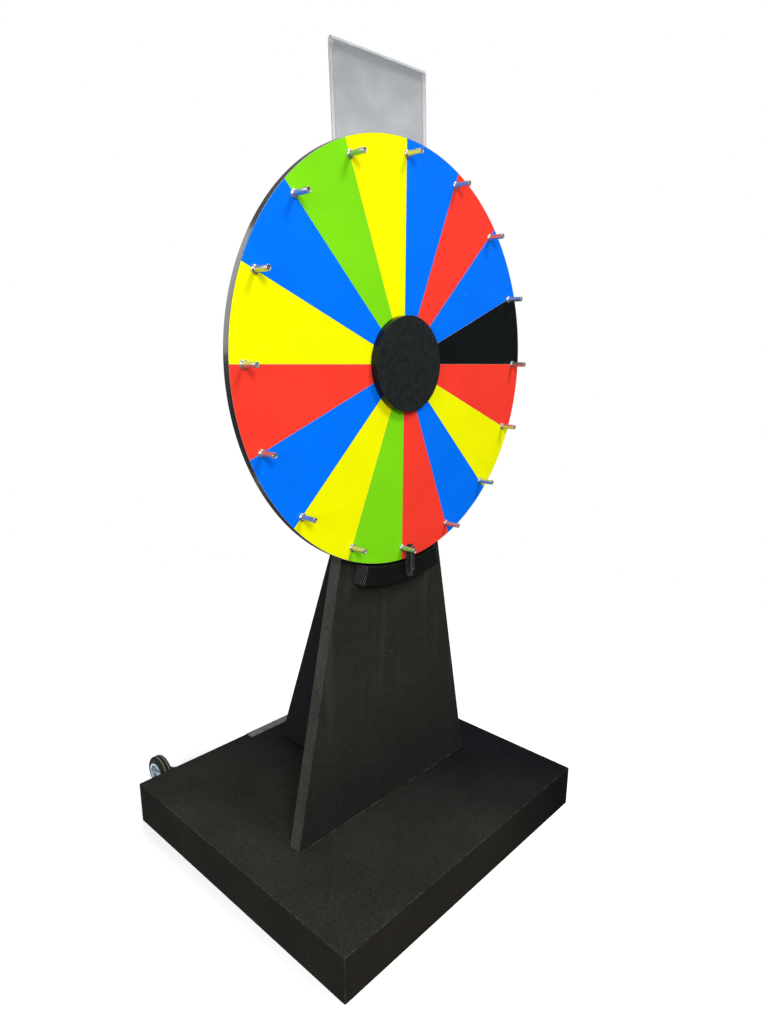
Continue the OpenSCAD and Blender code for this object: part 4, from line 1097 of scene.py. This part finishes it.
def sheet(name, colour):
    material, shader, where = new_finish(name, Specular_IOR_Level=0.05)
    cloud = noise(where, 6, 3)
    grain = noise(where, 900)
    scuffs = scratch_mask(where, 75, 0.74) * step(noise(where, 5), 0.55, 0.7)
    deep = tuple(c * DEEPER for c in paint(*colour)[:3]) + (1.0,)
    shade = mix(step(cloud, 0.3, 0.7), deep, paint(*colour))
    feed(shader, Base_Color=mix(scuffs * 0.08, shade, SHEET_SCUFF),
         Roughness=cloud * 0.12 + scuffs * 0.1 + 0.36, Normal=bump(grain, SHEET_DEPTH))
    return material


def dress(material, node):
    """Give a CAD node a finish in place of its plain one."""
    for slot in frame["nodes"][node].material_slots:
        slot.material = material


for name, colour in SHEETS.items():
    dress(sheet(name + "_sheet", colour), name)
print("sheets in", len(SHEETS), "colours")

# %% [markdown]
# ## The header pocket
# A clear sheet is folded into a pocket for a card above the wheel. It hangs a little askew on its
# mast. It could be a block with a slot, but a fold is easier to draw upright: a plane is the
# front leaf, its upper edge is spun half round and extruded down again as the rear leaf. Solidify
# gives the sheet its thickness, a Bevel breaks its cut edges, and at the end the whole pocket is
# turned to its lean, which is measured on the packed model between two of its corners.

# %% Measure the header pocket
pocket_points = points_of("header_pocket")
pocket_corner = min(pocket_points, key=lambda co: co.z)
far_corner = max(pocket_points, key=lambda co: co.x)
pocket_lean = math.atan2(far_corner.z - pocket_corner.z, far_corner.x - pocket_corner.x)


def upright(co):
    """A point of the leaning pocket, turned back as if the pocket hung straight."""
    return turn(math.degrees(pocket_lean), "Y") @ (co - pocket_corner) + pocket_corner


straight = [upright(co) for co in pocket_points]
pocket_low = Vector(min(co[k] for co in straight) for k in range(3))
pocket_high = Vector(max(co[k] for co in straight) for k in range(3))
fold_z = pocket_high.z - (pocket_high.y - pocket_low.y) / 2
leaf_back = min(co.y for co in straight if co.y > pocket_low.y + EPS and co.z < fold_z - EPS)
print("pocket", tell(pocket_high - pocket_low), "leans", round(math.degrees(pocket_lean), 2))

# %% Fold the header pocket
CUT_BREAK, FOLD_STEPS = 0.0004, 16

pocket_middle = (pocket_low + pocket_high) / 2
fold = Vector((pocket_middle.x, pocket_middle.y, fold_z))
leaf_middle = (pocket_middle.x, pocket_low.y, (pocket_low.z + fold_z) / 2)
pocket = add_plane("clear_pocket", leaf_middle, STANDING,
                   pocket_high.x - pocket_low.x, fold_z - pocket_low.z)
pick("EDGE", both_ends(lambda co: co.z > fold_z - EPS))
bpy.ops.mesh.spin(steps=FOLD_STEPS, angle=math.pi, center=fold, axis=(1, 0, 0))
push(z=pocket_low.z - fold_z)
mend()
bpy.ops.object.mode_set(mode="OBJECT")
modify(pocket, "SOLIDIFY", thickness=leaf_back - pocket_low.y, offset=-1)
soften(pocket, CUT_BREAK, segments=2)
bpy.ops.object.mode_set(mode="EDIT")
bpy.ops.mesh.select_all(action="SELECT")
bpy.ops.transform.rotate(value=pocket_lean, orient_axis="Y", center_override=pocket_corner)
close_piece(pocket)
compare(pocket)
hand_over(pocket, "stand", "clear_acrylic", "header_pocket")

# %% [markdown]
# ## Clear sheet
# The sheet transmits light, with a little grey in it, faint wiping marks and a haze that dims
# what lies behind. It is darker in a band under the fold. The fold itself and the sawn edges
# scatter the light and shine pale, so they get a frosted finish of their own. The band follows
# the pocket's lean, so the height of a point is measured along the leaning leaf.

# %% Finish the header pocket
CLEAR_DARK, CLEAR_PALE = paint(218, 220, 222), paint(228, 230, 232)
CLEAR_BAND = paint(204, 206, 208)
FROST_DARK, FROST_PALE = paint(206, 213, 216), paint(240, 244, 245)
BAND_FULL, BAND_NONE = 0.006, 0.03
WIPES = (6, 6, 26)

material, shader, where = new_finish("clear_sheet", Transmission_Weight=0.9, IOR=1.45)
x, z = axes(where)[::2]
leaf_height = ((z - pocket_corner.z) * math.cos(pocket_lean)
               - (x - pocket_corner.x) * math.sin(pocket_lean))
band = 1 - step(fold_z - pocket_corner.z - leaf_height, BAND_FULL, BAND_NONE)
wipes = noise(stretch(where, *WIPES), 1, 4)
haze = noise(where, 14, 4)
colour = mix(step(haze, 0.3, 0.7), CLEAR_DARK, CLEAR_PALE)
feed(shader, Base_Color=mix(band, colour, CLEAR_BAND),
     Roughness=step(wipes, 0.45, 0.8) * 0.06 + 0.05)
pocket.data.materials.append(material)


def is_frosted(face):
    """The cut edges, and all of the fold."""
    return (abs(face.normal.x) > LEANING or abs(face.normal.z) > LEANING
            or upright(face.calc_center_median()).z > fold_z)


material, shader, where = new_finish("frosted_edge", Transmission_Weight=0.6, IOR=1.49)
fuzz = noise(where, 300, 3)
feed(shader, Base_Color=mix(fuzz, FROST_DARK, FROST_PALE), Roughness=fuzz * 0.3 + 0.35)
second_finish(pocket, material, is_frosted)
print("pocket finished with", len(pocket.data.materials), "materials")

# %% [markdown]
# ## What stays as it is
# The other parts have the right shape in the packed model: screws, bolts, bearings, brackets, the
# mast, the boards inside the base. They keep their shape and get the metals, and a bare board for
# what is hidden inside.

# %% Finish the other parts
RAW_DARK, RAW_PALE = paint(140, 108, 74), paint(186, 152, 112)

raw_board, shader, where = new_finish("raw_board", Specular_IOR_Level=0.2)
fibre = noise(where, 380, 3)
cloud = noise(where, 14, 3)
feed(shader, Base_Color=mix(fibre * 0.5 + cloud * 0.5, RAW_DARK, RAW_PALE),
     Roughness=fibre * 0.15 + 0.72, Normal=bump(fibre, FIBRE_DEPTH))
BY_SLOT = {
    "raw_board": raw_board,
    "zinc": metals["zinc_plate"],
    "strip_metal": metals["weathered_bar"],
    "brass": metals["brass"],
    "steel": metals["turned_steel"],
    "black_steel": metals["blackened_steel"],
    "mast_aluminium": metals["drawn_aluminium"],
    "core_zinc": metals["bluish_zinc"],
    "chrome": metals["polished_chrome"],
}
for part in frame["record"]["subparts"]:
    if part["material_slot"] in BY_SLOT:
        dress(BY_SLOT[part["material_slot"]], part["node"])
print("finishes by slot", len(BY_SLOT))

# %% [markdown]
